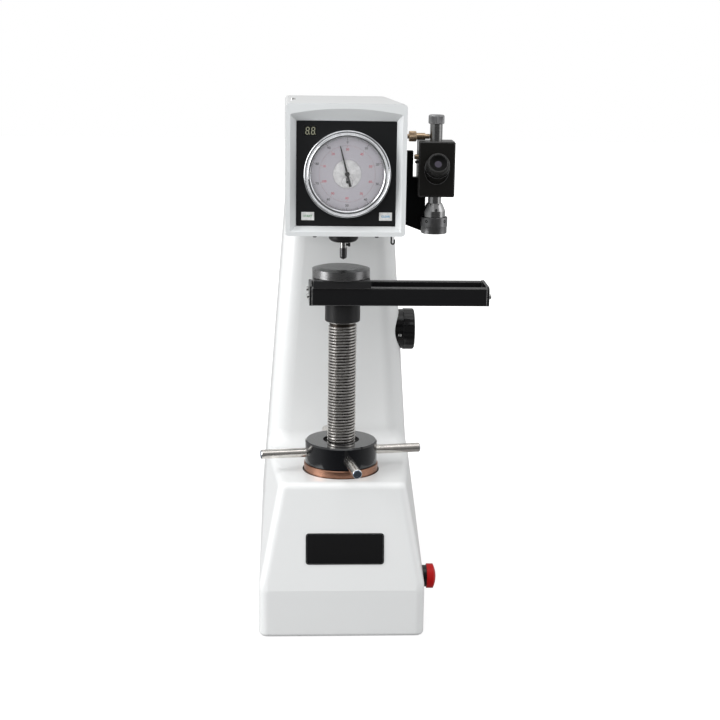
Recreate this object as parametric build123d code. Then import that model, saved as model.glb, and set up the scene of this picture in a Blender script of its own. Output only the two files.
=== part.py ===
"""Bench Rockwell hardness tester with a rail stage and a side microscope.

Frame: X to the operator's right, Y to the back, Z up.  The origin is on the floor, straight
below the common axis of the elevating screw and the indenter spindle.  All sizes are in mm.
"""
import os
from math import atan, cos, degrees, radians, sin, sqrt

from build123d import *

# ---------------------------------------------------------------- driving dimensions: body casting
BASE_HALF_W = 110.0        # half width of the base at the floor
BASE_FRONT_Y = -94.0       # front of the base below the sloping face
BASE_BACK_Y = 398.0        # back of the base
BASE_EDGE_Z = 65.0         # height at which the walls begin to taper
PLATFORM_Z = 206.0         # top of the nose that carries the elevating screw
PLATFORM_FRONT_Y = -69.0   # front edge of that platform
PLATFORM_HALF_W = 83.0     # half width of the platform at its front edge
THROAT_Y = 118.0           # face of the column behind the work space
HEAD_Z = 532.0             # underside of the overhanging head
HEAD_HALF_W = 76.5         # half width of the head
HEAD_FRONT_Y = -44.0       # front of the head casting, where the trim frame seats
COVER_SEAM_Z = 666.0       # seam between casting and top cover
WALL = 10.0                # casting wall
FLOOR_T = 12.0             # casting floor
HEAD_FLOOR_T = 12.0        # casting thickness under the head
COLUMN_CORNER_R = 30.0
NOSE_EDGE_R = 10.0
BASE_CORNER_R = 12.0
FOOT_EDGE_R = 5.0
THROAT_FOOT_R = 22.0

# ---------------------------------------------------------------- driving dimensions: covers
COVER_T = 2.0
COVER_FRONT_Z = 699.5      # top cover height at the front
COVER_DROP = 11.5          # how much lower the top cover is at the back
COVER_SIDE_R = 5.0
COVER_BACK_R = 16.0
REAR_OPEN_HALF_W = 50.0
REAR_OPEN_Z0 = 95.0
REAR_OPEN_Z1 = 625.0
REAR_LAP = 10.0            # how far the rear cover laps over its opening
SCREW_HEAD_R = 3.6
SCREW_HEAD_H = 2.2
SCREW_SHANK_R = 2.0
LID_SCREW_IN = 10.0        # lid screw's distance from the left side
LID_SCREW_Y, LID_SCREW_L = 100.0, 6.0

# ---------------------------------------------------------------- driving dimensions: front of head
FRAME_FRONT_Y = -60.0
FRAME_Z0 = 532.5
FRAME_Z1 = 699.5
FRAME_BORDER = 5.5         # flat border of the trim frame at its front
FRAME_LIP_T = 2.0          # lip behind the panel
FRAME_LIP_W = 2.5
FRAME_CORNER_R = 5.0
FRAME_ARC_RISE = 7.0       # rise of the arched upper edge of the recess
FRAME_TOP_BAND = 13.0      # height of the flat band above the recess at its ends
PANEL_X0, PANEL_X1 = -63.0, 64.0
PANEL_Z0, PANEL_Z1 = 544.5, 677.5
PANEL_T = 4.0
PANEL_CORNER_R = 2.0
PANEL_GAP = 0.3

# ---------------------------------------------------------------- driving dimensions: dial
DIAL_X = 1.5
DIAL_Z = 611.5
CASE_R = 52.0
CASE_WALL = 3.0
CASE_BACK_Y = -26.0
CASE_FRONT_Y = -53.0
CASE_FLANGE_R = 57.0
CASE_FLANGE_T = 2.0
BEZEL_R = 55.5
BEZEL_OPEN_R = 46.75
BEZEL_FRONT_Y = -62.0
BEZEL_LIP_T = 1.5
BEZEL_GAP = 0.3
GLASS_T = 2.0
FACE_T = 1.0
FACE_Y = -54.6             # front of the dial face
CENTRE_DISC_R = 18.0
CENTRE_POST_R = 12.0
POINTER_LEAN = 14.6        # degrees anticlockwise from vertical, seen from the front
POINTER_TIP_R = 36.5
POINTER_TAIL_R = 16.5
POINTER_HUB_R = 3.0
POINTER_T = 0.6
POINTER_Y = -57.2
ARBOR_R = 1.5
TURN_POINTER_DROP = 10.0   # distance of the turn counter's arbor below the main arbor
TURN_POINTER_R = 6.0
TURN_ARBOR_R = 0.8

# ---------------------------------------------------------------- driving dimensions: keys, display
KEY_W, KEY_H = 16.5, 10.5
KEY_Z = 557.0
START_X, CLEAR_X = -48.1, 51.4
KEY_PROUD = 1.2
KEY_BACK = 6.0
KEY_FLANGE = 1.5
KEY_GAP = 0.1
DISPLAY_X, DISPLAY_Z = -45.5, 665.0
DISPLAY_W, DISPLAY_H = 17.0, 13.5
BOARD_W, BOARD_H, BOARD_T = 24.0, 22.0, 1.6
BOARD_GAP = 2.0            # board stands this far behind the panel

# ---------------------------------------------------------------- driving dimensions: spindle
FLANGE_R = 19.5
FLANGE_Z0 = 517.4
FLANGE_DISH_H = 4.6
FLANGE_NOSE_R = 11.0
SLEEVE_R = 15.0
SPINDLE_LIP_T = 2.0
SPINDLE_LIP_GAP = 0.35
SLEEVE_TOP_Z = 580.0
SPINDLE_R = 8.0
SPINDLE_TOP_Z = 592.0
NOSE_R = 4.15
NOSE_Z0 = 509.0
HOLDER_R = 4.75
HOLDER_Z0 = 494.4
HOLDER_END_R = 1.8
HOLDER_END_H = 3.6
TIP_Z = 493.0
TIP_R = 1.4
FIT = 0.05                 # radial running clearance
SET_SCREW_Z = 513.0
SET_SCREW_R = 1.6
SET_SCREW_OUT = 9.0

# ---------------------------------------------------------------- driving dimensions: elevating screw
SCREW_R = 19.0
SCREW_Z0 = 165.0
SCREW_SHOULDER_Z = 411.0
SPIGOT_R = 15.0
COLLAR_R = 23.5
STAGE_Z = 437.0            # underside of the stage rails
KEY_SLOT_W, KEY_SLOT_D = 6.0, 3.5
SCREW_FIT = 0.1
GUIDE_R = 30.0
GUIDE_Z0 = 104.0
GUIDE_BOSS_R = 42.0
RING_R = 50.15
RING_BORE_R = 24.0
RING_TOP_Z = 216.0
RING_SEAT_R = 52.0
RING_SEAT_D = 2.0
HUB_R = 48.75
HUB_Z0 = 216.2
HUB_Z1 = 247.0
HUB_EDGE = 2.0
HUB_RECESS_R = 24.5
HUB_RECESS_D = 6.0
SPOKE_COUNT = 4
SPOKE_ANGLE = 9.0
SPOKE_R = 6.25
SPOKE_ROOT = 36.0
SPOKE_TIP = 110.0
SPOKE_Z = 230.5
SPOKE_EDGE = 1.2

# ---------------------------------------------------------------- driving dimensions: rail stage
RAIL_X0, RAIL_X1 = -41.5, 188.0
RAIL_H = 23.5
RAIL_OUT_Y = 32.0
RAIL_IN_Y = 20.0
END_T = 3.5
END_RISE = 1.5
RAIL_SCREW_Z = 449.0
RAIL_SCREW_R = 3.4
RAIL_SCREW_H = 3.0
BOSS_GAP = 0.2
BOSS_H = 16.0
BLOCK_X0, BLOCK_X1 = -40.0, 35.5
BLOCK_H = 9.5
BLOCK_HALF_Y = 34.0
TONGUE_H = 5.0
TONGUE_GAP = 0.15
SLIDE_GAP = 0.1
ANVIL_X = -2.6
ANVIL_R = 38.2
ANVIL_FLAT_R = 29.5
ANVIL_H = 13.8
ANVIL_BEVEL_H = 2.2
ANVIL_STUD_R = 6.0
ANVIL_STUD_L = 8.0

# ---------------------------------------------------------------- driving dimensions: microscope
SCOPE_OUT = 42.5           # microscope axis outside the head's right side
SCOPE_W = 47.5
SCOPE_FRONT_Y = -20.0
SCOPE_BACK_Y = 16.0
SCOPE_Z0, SCOPE_Z1 = 578.7, 650.5
SCOPE_EDGE = 1.5
LAMP_R = 8.1
LAMP_Z1 = 672.0
CAP_R = 10.4
CAP_Z1 = 683.5
CAP_SKIRT_GAP = 0.3
EYE_TILT = 30.0            # degrees above the horizontal
EYE_Z = 614.0
EYE_TUBE_R = 16.0
EYE_TUBE_L = 9.0
EYE_RING_R = 14.8
EYE_RING_L = 22.0
EYE_BORE_R = 11.0
EYE_LENS_T = 3.0
EYE_LENS_DEPTH = 7.0
OBJ_NECK_R = 8.6
OBJ_NECK_Z0 = 569.0
OBJ_BARREL_R = 14.5
OBJ_BARREL_Z0 = 551.0
OBJ_CONE_H = 8.0
OBJ_SPIGOT_R = 12.0
OBJ_RING_R = 17.6
OBJ_RING_Z0 = 538.7
OBJ_FACE_R = 17.0
OBJ_FACE_Z0 = 529.5
OBJ_LENS_R = 7.0
BRACKET_Y1 = 30.0
BRACKET_UP_W = 14.9
BRACKET_LOW_W = 32.0
BRACKET_UP_Z = 635.0
BRACKET_STEP_Z = 600.5
BRACKET_LOW_Z = 540.0
BRACKET_TIP_Z = 528.0
CLAMP_Y, CLAMP_Z = 0.0, 655.5
CLAMP_KNOB_R = 7.0
CLAMP_REACH = 7.0          # bare stud between the head and the knob
CLAMP_KNOB_L = 9.5
CLAMP_BODY_R = 4.5
CLAMP_BODY_L = 11.5
CLAMP_TIP_R = 3.2
CLAMP_STUD_R = 3.0
CLAMP_GAP = 0.3

# ---------------------------------------------------------------- driving dimensions: side controls
KNOB_Y, KNOB_Z = 158.0, 367.5
KNOB_SEAT_D = 8.84         # depth of the knob's seat in the side wall
KNOB_RING_R = 28.4
KNOB_RING_L = 13.5
KNOB_R = 29.6
KNOB_L = 16.6
KNOB_SEAT_GAP = 0.5
SHAFT_R = 7.0
SHAFT_END_D = 18.84        # shaft's left end inside the left side wall
BEARING_R = 15.0
BEARING_L = 22.0
CAM_LOBE_R = 18.0
CAM_LOBE_T = 8.0
CAM_LOBE_XS = (-26.0, 0.0, 26.0)
STOP_Y, STOP_Z = -55.0, 71.0
STOP_NECK_R = 11.0
STOP_COLLAR_R = 14.5
STOP_SEAT_D = 2.1          # depth of the collar's seat below the foot of the wall
STOP_COLLAR_L = 7.6
STOP_SEAT_GAP = 1.0
STOP_NECK_L = 25.0
STOP_STEM_R = 6.0
STOP_HEAD_R = 16.5
STOP_HEAD_GAP = 4.5        # between the collar and the mushroom head
STOP_HEAD_L = 7.5
STOP_SKIRT_L = 5.4         # skirt of the head, over the front of the collar
STOP_SKIRT_GAP = 0.5

# ---------------------------------------------------------------- driving dimensions: load train
PIVOT_Y, PIVOT_Z = -10.5, 612.0
HANGER_Y = 241.5
PISTON_Y = 312.0
LEVER_W = 18.0
LEVER_H = 24.0
LEVER_NOSE = 13.5          # lever in front of its pivot
LEVER_TAIL = 14.0          # lever behind the damper's link
LEVER_PIN_R = 5.0
LINK_PIN_R = 4.0
LINK_PIN_L = 44.0
LINK_CLEAR = 0.8
LEVER_PAD_R = 7.0
LEVER_PAD_GAP = 1.4        # between the spindle's top and the lever's pad
PIVOT_BOSS_R = 11.0
PIVOT_BOSS_L = 31.0
FULCRUM_T = 9.0
FULCRUM_GAP = 0.5
LINK_GAP = 1.0
FULCRUM_D = 26.0
HANGER_ROD_R = 6.0
HANGER_BRIDGE_Z = 560.0
HANGER_BRIDGE_T = 8.0
HANGER_CHEEK_T = 5.0
HANGER_CHEEK_W = 20.0
HANGER_PLATE_R = 22.0
HANGER_PLATE_Z = 190.0
HANGER_PLATE_T = 6.0
DISC_R = 60.0
DISC_HEIGHTS = (23.4, 18.8, 23.4)
DISC_GAP = 0.4
CAM_Z = 120.0
CAM_R_MAX, CAM_R_MIN = 34.0, 22.0
CAM_SWEEP = 300.0
CAM_T = 14.0
CAM_SHAFT_R = 6.0
CAM_SHAFT_IN = 24.0        # length of the cam shaft inside the motor
CAM_SHAFT_X1 = 12.0
SEAT_GAP = 0.5
CAM_FOLLOW_GAP = 0.6
MOTOR_X0, MOTOR_X1 = -72.0, -16.0
MOTOR_HALF_Y = 36.0
MOTOR_TOP_Z = 156.0
DAMPER_R = 20.0
DAMPER_WALL = 3.0
DAMPER_Z0, DAMPER_Z1 = 440.0, 540.0
SHELF_T = 8.0
SHELF_FRONT = 27.0         # shelf in front of the damper's axis
PISTON_R = 16.8
PISTON_T = 8.0
PISTON_ROD_R = 5.0

# ---------------------------------------------------------------- driving dimensions: small fittings
INLET_X, INLET_Z = -62.0, 38.0
INLET_W, INLET_H = 48.0, 27.0
INLET_FLANGE_T = 3.0
INLET_BODY_W, INLET_BODY_H = 32.0, 21.0
INLET_DEPTH = 26.0
INLET_SOCKET_W, INLET_SOCKET_H, INLET_SOCKET_D = 24.0, 15.0, 15.0
HOOK_IN = 11.9             # hook's shank inside the head's right side
HOOK_Y = 20.0
HOOK_WIRE_R = 1.1
HOOK_BEND_R = 2.05
HOOK_DROP = 18.8
HOOK_TAIL = 4.0
BOLT_IN_X = 35.0           # bolt holes inside the base's sides
BOLT_IN_Y0, BOLT_IN_Y1 = 49.0, 53.0
BOLT_HOLE_R = 5.1
BIG = 900.0

TAPER = (BASE_HALF_W - HEAD_HALF_W) / (HEAD_Z - BASE_EDGE_Z)
PANEL_BACK_Y = HEAD_FRONT_Y - FRAME_LIP_T
PANEL_FRONT_Y = PANEL_BACK_Y - PANEL_T
COVER_BACK_Z = COVER_FRONT_Z - COVER_DROP
LID_SCREW_X = LID_SCREW_IN - HEAD_HALF_W
SCOPE_X = HEAD_HALF_W + SCOPE_OUT
BRACKET_UP_X = HEAD_HALF_W + BRACKET_UP_W
BRACKET_LOW_X = HEAD_HALF_W + BRACKET_LOW_W
CLAMP_KNOB_X0 = HEAD_HALF_W + CLAMP_REACH
CLAMP_KNOB_X1 = CLAMP_KNOB_X0 + CLAMP_KNOB_L
CLAMP_BODY_X1 = CLAMP_KNOB_X1 + CLAMP_BODY_L
KNOB_WALL_X = BASE_HALF_W - TAPER * (KNOB_Z - BASE_EDGE_Z)
KNOB_SEAT_X = KNOB_WALL_X - KNOB_SEAT_D
KNOB_RING_X1 = KNOB_SEAT_X + KNOB_RING_L
KNOB_X1 = KNOB_RING_X1 + KNOB_L
SHAFT_X0 = SHAFT_END_D - KNOB_WALL_X
BEARING_IN_X = KNOB_SEAT_X - BEARING_L
STOP_COLLAR_X0 = BASE_HALF_W - STOP_SEAT_D
STOP_COLLAR_X1 = STOP_COLLAR_X0 + STOP_COLLAR_L
STOP_INNER_X = STOP_COLLAR_X0 - STOP_NECK_L
STOP_HEAD_X0 = STOP_COLLAR_X1 + STOP_HEAD_GAP
STOP_HEAD_X1 = STOP_HEAD_X0 + STOP_HEAD_L
LEVER_FRONT_Y = PIVOT_Y - LEVER_NOSE
LEVER_BACK_Y = PISTON_Y + LEVER_TAIL
SHELF_Y0 = PISTON_Y - SHELF_FRONT
HOOK_X = HEAD_HALF_W - HOOK_IN
BOLT_X = BASE_HALF_W - BOLT_IN_X
BOLT_Y0 = BASE_FRONT_Y + BOLT_IN_Y0
BOLT_Y1 = BASE_BACK_Y - BOLT_IN_Y1


# ---------------------------------------------------------------- helpers
def half_width(z, inset=0.0):
    """Half width of the tapered body at height z."""
    return BASE_HALF_W - TAPER * (max(z, BASE_EDGE_Z) - BASE_EDGE_Z) - inset


def back_y(z, inset=0.0):
    """Y of the body's tapered back face at height z."""
    return BASE_BACK_Y - TAPER * (max(z, BASE_EDGE_Z) - BASE_EDGE_Z) - inset


def block(x0, x1, y0, y1, z0, z1):
    """Axis-aligned box between two corners."""
    return Pos((x0 + x1) / 2, (y0 + y1) / 2, (z0 + z1) / 2) * Box(x1 - x0, y1 - y0, z1 - z0)


def rod_x(x0, x1, y, z, r):
    """Round bar along X."""
    return Pos((x0 + x1) / 2, y, z) * Rot(0, 90, 0) * Cylinder(r, x1 - x0)


def rod_y(y0, y1, x, z, r):
    """Round bar along Y."""
    return Pos(x, (y0 + y1) / 2, z) * Rot(90, 0, 0) * Cylinder(r, y1 - y0)


def rod_z(z0, z1, x, y, r):
    """Round bar along Z."""
    return Pos(x, y, (z0 + z1) / 2) * Cylinder(r, z1 - z0)


def side_slab(points, x0, x1):
    """Prism along X from x0 to x1 over a closed (Y, Z) outline."""
    face = make_face(Polyline(*points, close=True))
    return extrude(Plane.YZ.offset(x0) * face, amount=x1 - x0)


def front_slab(points, y0, y1):
    """Prism along Y from y0 to y1 over a closed (X, Z) outline."""
    face = make_face(Polyline(*points, close=True))
    return extrude(Plane.XZ.offset(-y1) * face, amount=y1 - y0)


def turned_z(profile, x=0.0, y=0.0):
    """Solid of revolution about a vertical axis through (x, y) from (radius, z) points."""
    face = make_face(Plane.XZ * Polyline(*profile, close=True))
    return Pos(x, y, 0) * revolve(face, Axis.Z, 360)


def turned_y(profile, x, z):
    """Solid of revolution about a Y axis through (x, z) from (radius, y) points."""
    face = make_face(Plane.XY * Polyline(*profile, close=True))
    return Pos(x, 0, z) * revolve(face, Axis.Y, 360)


def turned_x(profile, y, z):
    """Solid of revolution about an X axis through (y, z) from (x, radius) points."""
    face = make_face(Plane.XY * Polyline(*profile, close=True))
    return Pos(0, y, z) * revolve(face, Axis.X, 360)


def edges_where(part, test):
    """Edges whose centre passes a test of (x, y, z)."""
    return [e for e in part.edges() if test(*tuple(e.center()))]


# ---------------------------------------------------------------- body casting
def front_outline(inset=0.0, z0=0.0, z1=COVER_SEAM_Z):
    """Tapered front view of the body as (X, Z) points."""
    base = BASE_HALF_W - inset
    head = HEAD_HALF_W - inset
    right = [(base, z0), (base, BASE_EDGE_Z), (head, HEAD_Z), (head, z1)]
    return right + [(-x, z) for x, z in reversed(right)]


def nose_facet():
    """Material outside the slanting right-hand face of the nose."""
    front_top = Vector(PLATFORM_HALF_W, PLATFORM_FRONT_Y, PLATFORM_Z)
    front_low = Vector(BASE_HALF_W, BASE_FRONT_Y, BASE_EDGE_Z)
    back_top = Vector(half_width(PLATFORM_Z), THROAT_Y, PLATFORM_Z)
    along = (front_low - front_top).normalized()
    normal = (back_top - front_top).cross(front_low - front_top).normalized()
    if normal.X < 0:
        normal = -normal
    outside = Plane(origin=front_top, x_dir=along, z_dir=normal) * Pos(0, 0, BIG / 2) * Box(BIG, BIG, BIG)
    return outside & block(0, BIG, BASE_FRONT_Y - 1, THROAT_Y, 0, PLATFORM_Z)


def casting_outside():
    """Solid envelope of the casting: base with nose, tapered column and overhanging head."""
    envelope = front_slab(front_outline(), BASE_FRONT_Y, BASE_BACK_Y)
    column = side_slab(
        [(THROAT_Y, 0), (THROAT_Y, COVER_SEAM_Z), (back_y(COVER_SEAM_Z), COVER_SEAM_Z),
         (BASE_BACK_Y, BASE_EDGE_Z), (BASE_BACK_Y, 0)], -BASE_HALF_W, BASE_HALF_W) & envelope
    corners = edges_where(column, lambda x, y, z: abs(y - THROAT_Y) < 1 and abs(x) > 1 and BASE_EDGE_Z < z < HEAD_Z)
    column = fillet(corners, COLUMN_CORNER_R)
    lap_y = THROAT_Y + 2 * COLUMN_CORNER_R
    nose = side_slab(
        [(BASE_FRONT_Y, 0), (BASE_FRONT_Y, BASE_EDGE_Z), (PLATFORM_FRONT_Y, PLATFORM_Z),
         (lap_y, PLATFORM_Z), (lap_y, 0)], -BASE_HALF_W, BASE_HALF_W) & envelope
    facet = nose_facet()
    nose = nose - facet - mirror(facet, Plane.YZ)
    nose = fillet(edges_where(nose, lambda x, y, z: y < PLATFORM_FRONT_Y and abs(x) > 60 and z > 1), BASE_CORNER_R)
    nose = fillet(edges_where(nose, lambda x, y, z: z > PLATFORM_Z - 4 and y < THROAT_Y - 1), NOSE_EDGE_R)
    head = block(-HEAD_HALF_W, HEAD_HALF_W, HEAD_FRONT_Y, lap_y, HEAD_Z, COVER_SEAM_Z)
    body = column + nose + head
    throat_foot = edges_where(body, lambda x, y, z: abs(z - PLATFORM_Z) < 1 and abs(y - THROAT_Y) < 1)
    body = fillet(throat_foot, THROAT_FOOT_R)
    return fillet(edges_where(body, lambda x, y, z: abs(z) < 0.5), FOOT_EDGE_R)


def casting_inside():
    """Cavity of the casting, open at the front and the top of the head."""
    nose_in = WALL + 2
    side = side_slab(
        [(BASE_FRONT_Y + nose_in, FLOOR_T), (BASE_FRONT_Y + nose_in, BASE_EDGE_Z),
         (PLATFORM_FRONT_Y + nose_in + 4, PLATFORM_Z - WALL), (THROAT_Y + WALL, PLATFORM_Z - WALL),
         (THROAT_Y + WALL, HEAD_Z + HEAD_FLOOR_T), (HEAD_FRONT_Y - 1, HEAD_Z + HEAD_FLOOR_T),
         (HEAD_FRONT_Y - 1, COVER_SEAM_Z + 1), (back_y(COVER_SEAM_Z, WALL), COVER_SEAM_Z + 1),
         (BASE_BACK_Y - WALL, BASE_EDGE_Z), (BASE_BACK_Y - WALL, FLOOR_T)], -BASE_HALF_W, BASE_HALF_W)
    hollow = side & front_slab(front_outline(WALL, FLOOR_T, COVER_SEAM_Z + 1), BASE_FRONT_Y, BASE_BACK_Y)
    facet = Pos(-WALL, 0, 0) * nose_facet()
    hollow = hollow - facet - mirror(facet, Plane.YZ)
    corners = edges_where(hollow, lambda x, y, z: abs(y - THROAT_Y - WALL) < 1 and abs(x) > 1 and z > PLATFORM_Z)
    return fillet(corners, COLUMN_CORNER_R - WALL)


def frame_casting():
    """One hollow iron casting: base, column and head with their bosses and machined seats."""
    outside = casting_outside()
    body = outside - casting_inside()
    body += rod_z(GUIDE_Z0, PLATFORM_Z - RING_SEAT_D - 1, 0, 0, GUIDE_BOSS_R)
    shelf = block(-BASE_HALF_W, BASE_HALF_W, SHELF_Y0, BASE_BACK_Y, DAMPER_Z0 - SHELF_T, DAMPER_Z0)
    body += shelf & outside
    knob_boss = rod_x(BEARING_IN_X, BASE_HALF_W, KNOB_Y, KNOB_Z, KNOB_R + WALL / 2) & outside
    body += knob_boss
    body += rod_x(-half_width(KNOB_Z), SHAFT_X0 + WALL, KNOB_Y, KNOB_Z, BEARING_R) & outside
    body -= rod_z(GUIDE_Z0 - 1, PLATFORM_Z + 1, 0, 0, GUIDE_R)
    body -= rod_z(PLATFORM_Z - RING_SEAT_D, PLATFORM_Z + 20, 0, 0, RING_SEAT_R)
    body -= rod_z(HEAD_Z - 1, HEAD_Z + HEAD_FLOOR_T + 1, 0, 0, SLEEVE_R)
    body -= rod_x(KNOB_SEAT_X, BASE_HALF_W + 1, KNOB_Y, KNOB_Z, KNOB_R + KNOB_SEAT_GAP)
    body -= rod_x(SHAFT_X0 - KNOB_SEAT_GAP, BASE_HALF_W, KNOB_Y, KNOB_Z, SHAFT_R + FIT)
    body -= rod_x(STOP_INNER_X, BASE_HALF_W + 1, STOP_Y, STOP_Z, STOP_NECK_R)
    body -= rod_x(STOP_COLLAR_X0, BASE_HALF_W + 1, STOP_Y, STOP_Z, STOP_COLLAR_R + STOP_SEAT_GAP)
    body -= rear_opening(REAR_OPEN_HALF_W, REAR_OPEN_Z0, REAR_OPEN_Z1, WALL + 1, 1)
    body -= block(INLET_X - INLET_BODY_W / 2, INLET_X + INLET_BODY_W / 2, BASE_BACK_Y - WALL - 1,
                  BASE_BACK_Y + 1, INLET_Z - INLET_BODY_H / 2, INLET_Z + INLET_BODY_H / 2)
    body -= rod_x(HEAD_HALF_W - WALL - 1, HEAD_HALF_W + 1, CLAMP_Y, CLAMP_Z, CLAMP_STUD_R + FIT)
    body -= rod_z(HEAD_Z - 1, HEAD_Z + WALL / 2, HOOK_X, HOOK_Y, HOOK_WIRE_R)
    for y, z in rear_screw_places():
        body -= rear_screw(y, z, 0.0)
    for x in (-BOLT_X, BOLT_X):
        for y in (BOLT_Y0, BOLT_Y1):
            body -= rod_z(-1, FLOOR_T + 1, x, y, BOLT_HOLE_R)
    return body


# ---------------------------------------------------------------- covers
def rear_opening(half_w, z0, z1, depth, proud):
    """Prism through the tapered back face, from depth inside it to proud outside it."""
    points = [(back_y(z0) - depth, z0), (back_y(z1) - depth, z1), (back_y(z1) + proud, z1),
              (back_y(z0) + proud, z0)]
    return side_slab(points, -half_w, half_w)


def rear_cover():
    """Flat sheet over the opening in the back of the column."""
    sheet = rear_opening(REAR_OPEN_HALF_W + REAR_LAP, REAR_OPEN_Z0 - REAR_LAP,
                         REAR_OPEN_Z1 + REAR_LAP, 0, COVER_T)
    sheet = fillet(edges_where(sheet, lambda x, y, z: abs(x) > REAR_OPEN_HALF_W and
                               (z < REAR_OPEN_Z0 - REAR_LAP + 1 or z > REAR_OPEN_Z1 + REAR_LAP - 1)), 6)
    for x, z in rear_screw_places():
        sheet -= rear_screw(x, z, 0.0)
    return sheet


def rear_screw_places():
    """Centres of the rear cover's screws as (x, z)."""
    x = REAR_OPEN_HALF_W + REAR_LAP / 2
    low = REAR_OPEN_Z0 + REAR_LAP
    high = REAR_OPEN_Z1 - REAR_LAP
    return [(side * x, z) for side in (-1, 1) for z in (low, (low + high) / 2, high)]


def rear_screw(x, z, head_h):
    """Shank of a cover screw square to the back face, with a head when head_h is given."""
    return cover_screw(Pos(x, back_y(z), z) * Rot(-90 + degrees(atan(TAPER)), 0, 0), WALL - 2, head_h)


def lid_screw(head_h):
    """Shank of the lid screw square to the sloping lid, with a head when head_h is given."""
    slope = (COVER_FRONT_Z - COVER_BACK_Z) / (back_y(COVER_BACK_Z) - HEAD_FRONT_Y)
    z = COVER_FRONT_Z - COVER_T - slope * (LID_SCREW_Y - HEAD_FRONT_Y)
    return cover_screw(Pos(LID_SCREW_X, LID_SCREW_Y, z) * Rot(-degrees(atan(slope)), 0, 0), LID_SCREW_L, head_h)


def cover_screw(place, depth, head_h):
    """Shank from depth below a seat through a sheet lying on it, and a round head on the sheet."""
    screw = place * Pos(0, 0, (COVER_T - depth) / 2) * Cylinder(SCREW_SHANK_R, depth + COVER_T)
    if head_h:
        screw += place * Pos(0, 0, COVER_T + head_h / 2) * Cylinder(SCREW_HEAD_R, head_h)
    return screw


def cover_screws():
    """Six rear cover screws and the lid screw near the front left of the top cover."""
    screws = [rear_screw(x, z, SCREW_HEAD_H) for x, z in rear_screw_places()]
    return Compound(children=screws + [lid_screw(SCREW_HEAD_H)])


def top_cover():
    """Folded sheet lid that closes the head, lower at the back than at the front."""
    def outline(t):
        low = COVER_SEAM_Z - (1 if t else 0)
        front = HEAD_FRONT_Y - (1 if t else 0)
        return [(front, low), (front, COVER_FRONT_Z - t), (back_y(COVER_BACK_Z, t), COVER_BACK_Z - t),
                (back_y(COVER_SEAM_Z, t), low)]
    outer = side_slab(outline(0), -HEAD_HALF_W, HEAD_HALF_W)
    outer = fillet(edges_where(outer, lambda x, y, z: abs(x) > 1 and y > back_y(COVER_SEAM_Z) - 5
                               and COVER_SEAM_Z < z < COVER_BACK_Z), COVER_BACK_R)
    outer = fillet(edges_where(outer, lambda x, y, z: z > COVER_SEAM_Z + 20 and y > HEAD_FRONT_Y + 1),
                   COVER_SIDE_R)
    inner = side_slab(outline(COVER_T), COVER_T - HEAD_HALF_W, HEAD_HALF_W - COVER_T)
    inner = fillet(edges_where(inner, lambda x, y, z: abs(x) > 1 and y > back_y(COVER_SEAM_Z) - 8
                               and COVER_SEAM_Z < z < COVER_BACK_Z), COVER_BACK_R - COVER_T)
    return outer - inner - lid_screw(0.0)


# ---------------------------------------------------------------- front of the head
def front_frame():
    """Trim frame with an arched, splayed recess and a lip behind the panel."""
    frame = block(-HEAD_HALF_W, HEAD_HALF_W, FRAME_FRONT_Y, HEAD_FRONT_Y, FRAME_Z0, FRAME_Z1)
    frame = fillet(frame.edges().filter_by(Axis.Y), FRAME_CORNER_R)
    half = HEAD_HALF_W - FRAME_BORDER
    top = FRAME_Z1 - FRAME_TOP_BAND
    mouth = make_face(
        Polyline((-half, top), (-half, FRAME_Z0 + FRAME_BORDER), (half, FRAME_Z0 + FRAME_BORDER), (half, top))
        + ThreePointArc((half, top), (0, top + FRAME_ARC_RISE), (-half, top)))
    throat = Pos((PANEL_X0 + PANEL_X1) / 2, (PANEL_Z0 + PANEL_Z1) / 2) * Rectangle(
        PANEL_X1 - PANEL_X0 + 2 * PANEL_GAP, PANEL_Z1 - PANEL_Z0 + 2 * PANEL_GAP)
    front = Plane.XZ.offset(-FRAME_FRONT_Y)
    seat = Plane.XZ.offset(-PANEL_FRONT_Y)
    frame -= extrude(front * mouth, amount=1) + loft([front * mouth, seat * throat], ruled=True)
    frame -= extrude(seat * throat, amount=-PANEL_T)
    window = Pos((PANEL_X0 + PANEL_X1) / 2, (PANEL_Z0 + PANEL_Z1) / 2) * Rectangle(
        PANEL_X1 - PANEL_X0 - 2 * FRAME_LIP_W, PANEL_Z1 - PANEL_Z0 - 2 * FRAME_LIP_W)
    return frame - extrude(seat * window, amount=-WALL * 2)


def front_panel():
    """Black instrument panel with openings for the dial, the display and the two keys."""
    panel = block(PANEL_X0, PANEL_X1, PANEL_FRONT_Y, PANEL_BACK_Y, PANEL_Z0, PANEL_Z1)
    panel = fillet(panel.edges().filter_by(Axis.Y), PANEL_CORNER_R)
    panel -= rod_y(PANEL_FRONT_Y - 1, PANEL_BACK_Y + 1, DIAL_X, DIAL_Z, CASE_R)
    for x in (START_X, CLEAR_X):
        panel -= key_block(x, PANEL_FRONT_Y - 1, PANEL_BACK_Y + 1, 2 * KEY_GAP)
    return panel - display_block(PANEL_FRONT_Y - 1, PANEL_BACK_Y + 1, 2 * KEY_GAP)


def display_block(y0, y1, grow=0.0):
    """Block of the two-digit display between two Y planes."""
    w, h = (DISPLAY_W + grow) / 2, (DISPLAY_H + grow) / 2
    return block(DISPLAY_X - w, DISPLAY_X + w, y0, y1, DISPLAY_Z - h, DISPLAY_Z + h)


def display_module():
    """Two-digit display on its circuit board behind the panel."""
    board_y = PANEL_BACK_Y + BOARD_GAP
    board = block(DISPLAY_X - BOARD_W / 2, DISPLAY_X + BOARD_W / 2, board_y, board_y + BOARD_T,
                  DISPLAY_Z - BOARD_H / 2, DISPLAY_Z + DISPLAY_H / 2 + 1)
    return display_block(PANEL_FRONT_Y + 0.5, board_y) + board


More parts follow.
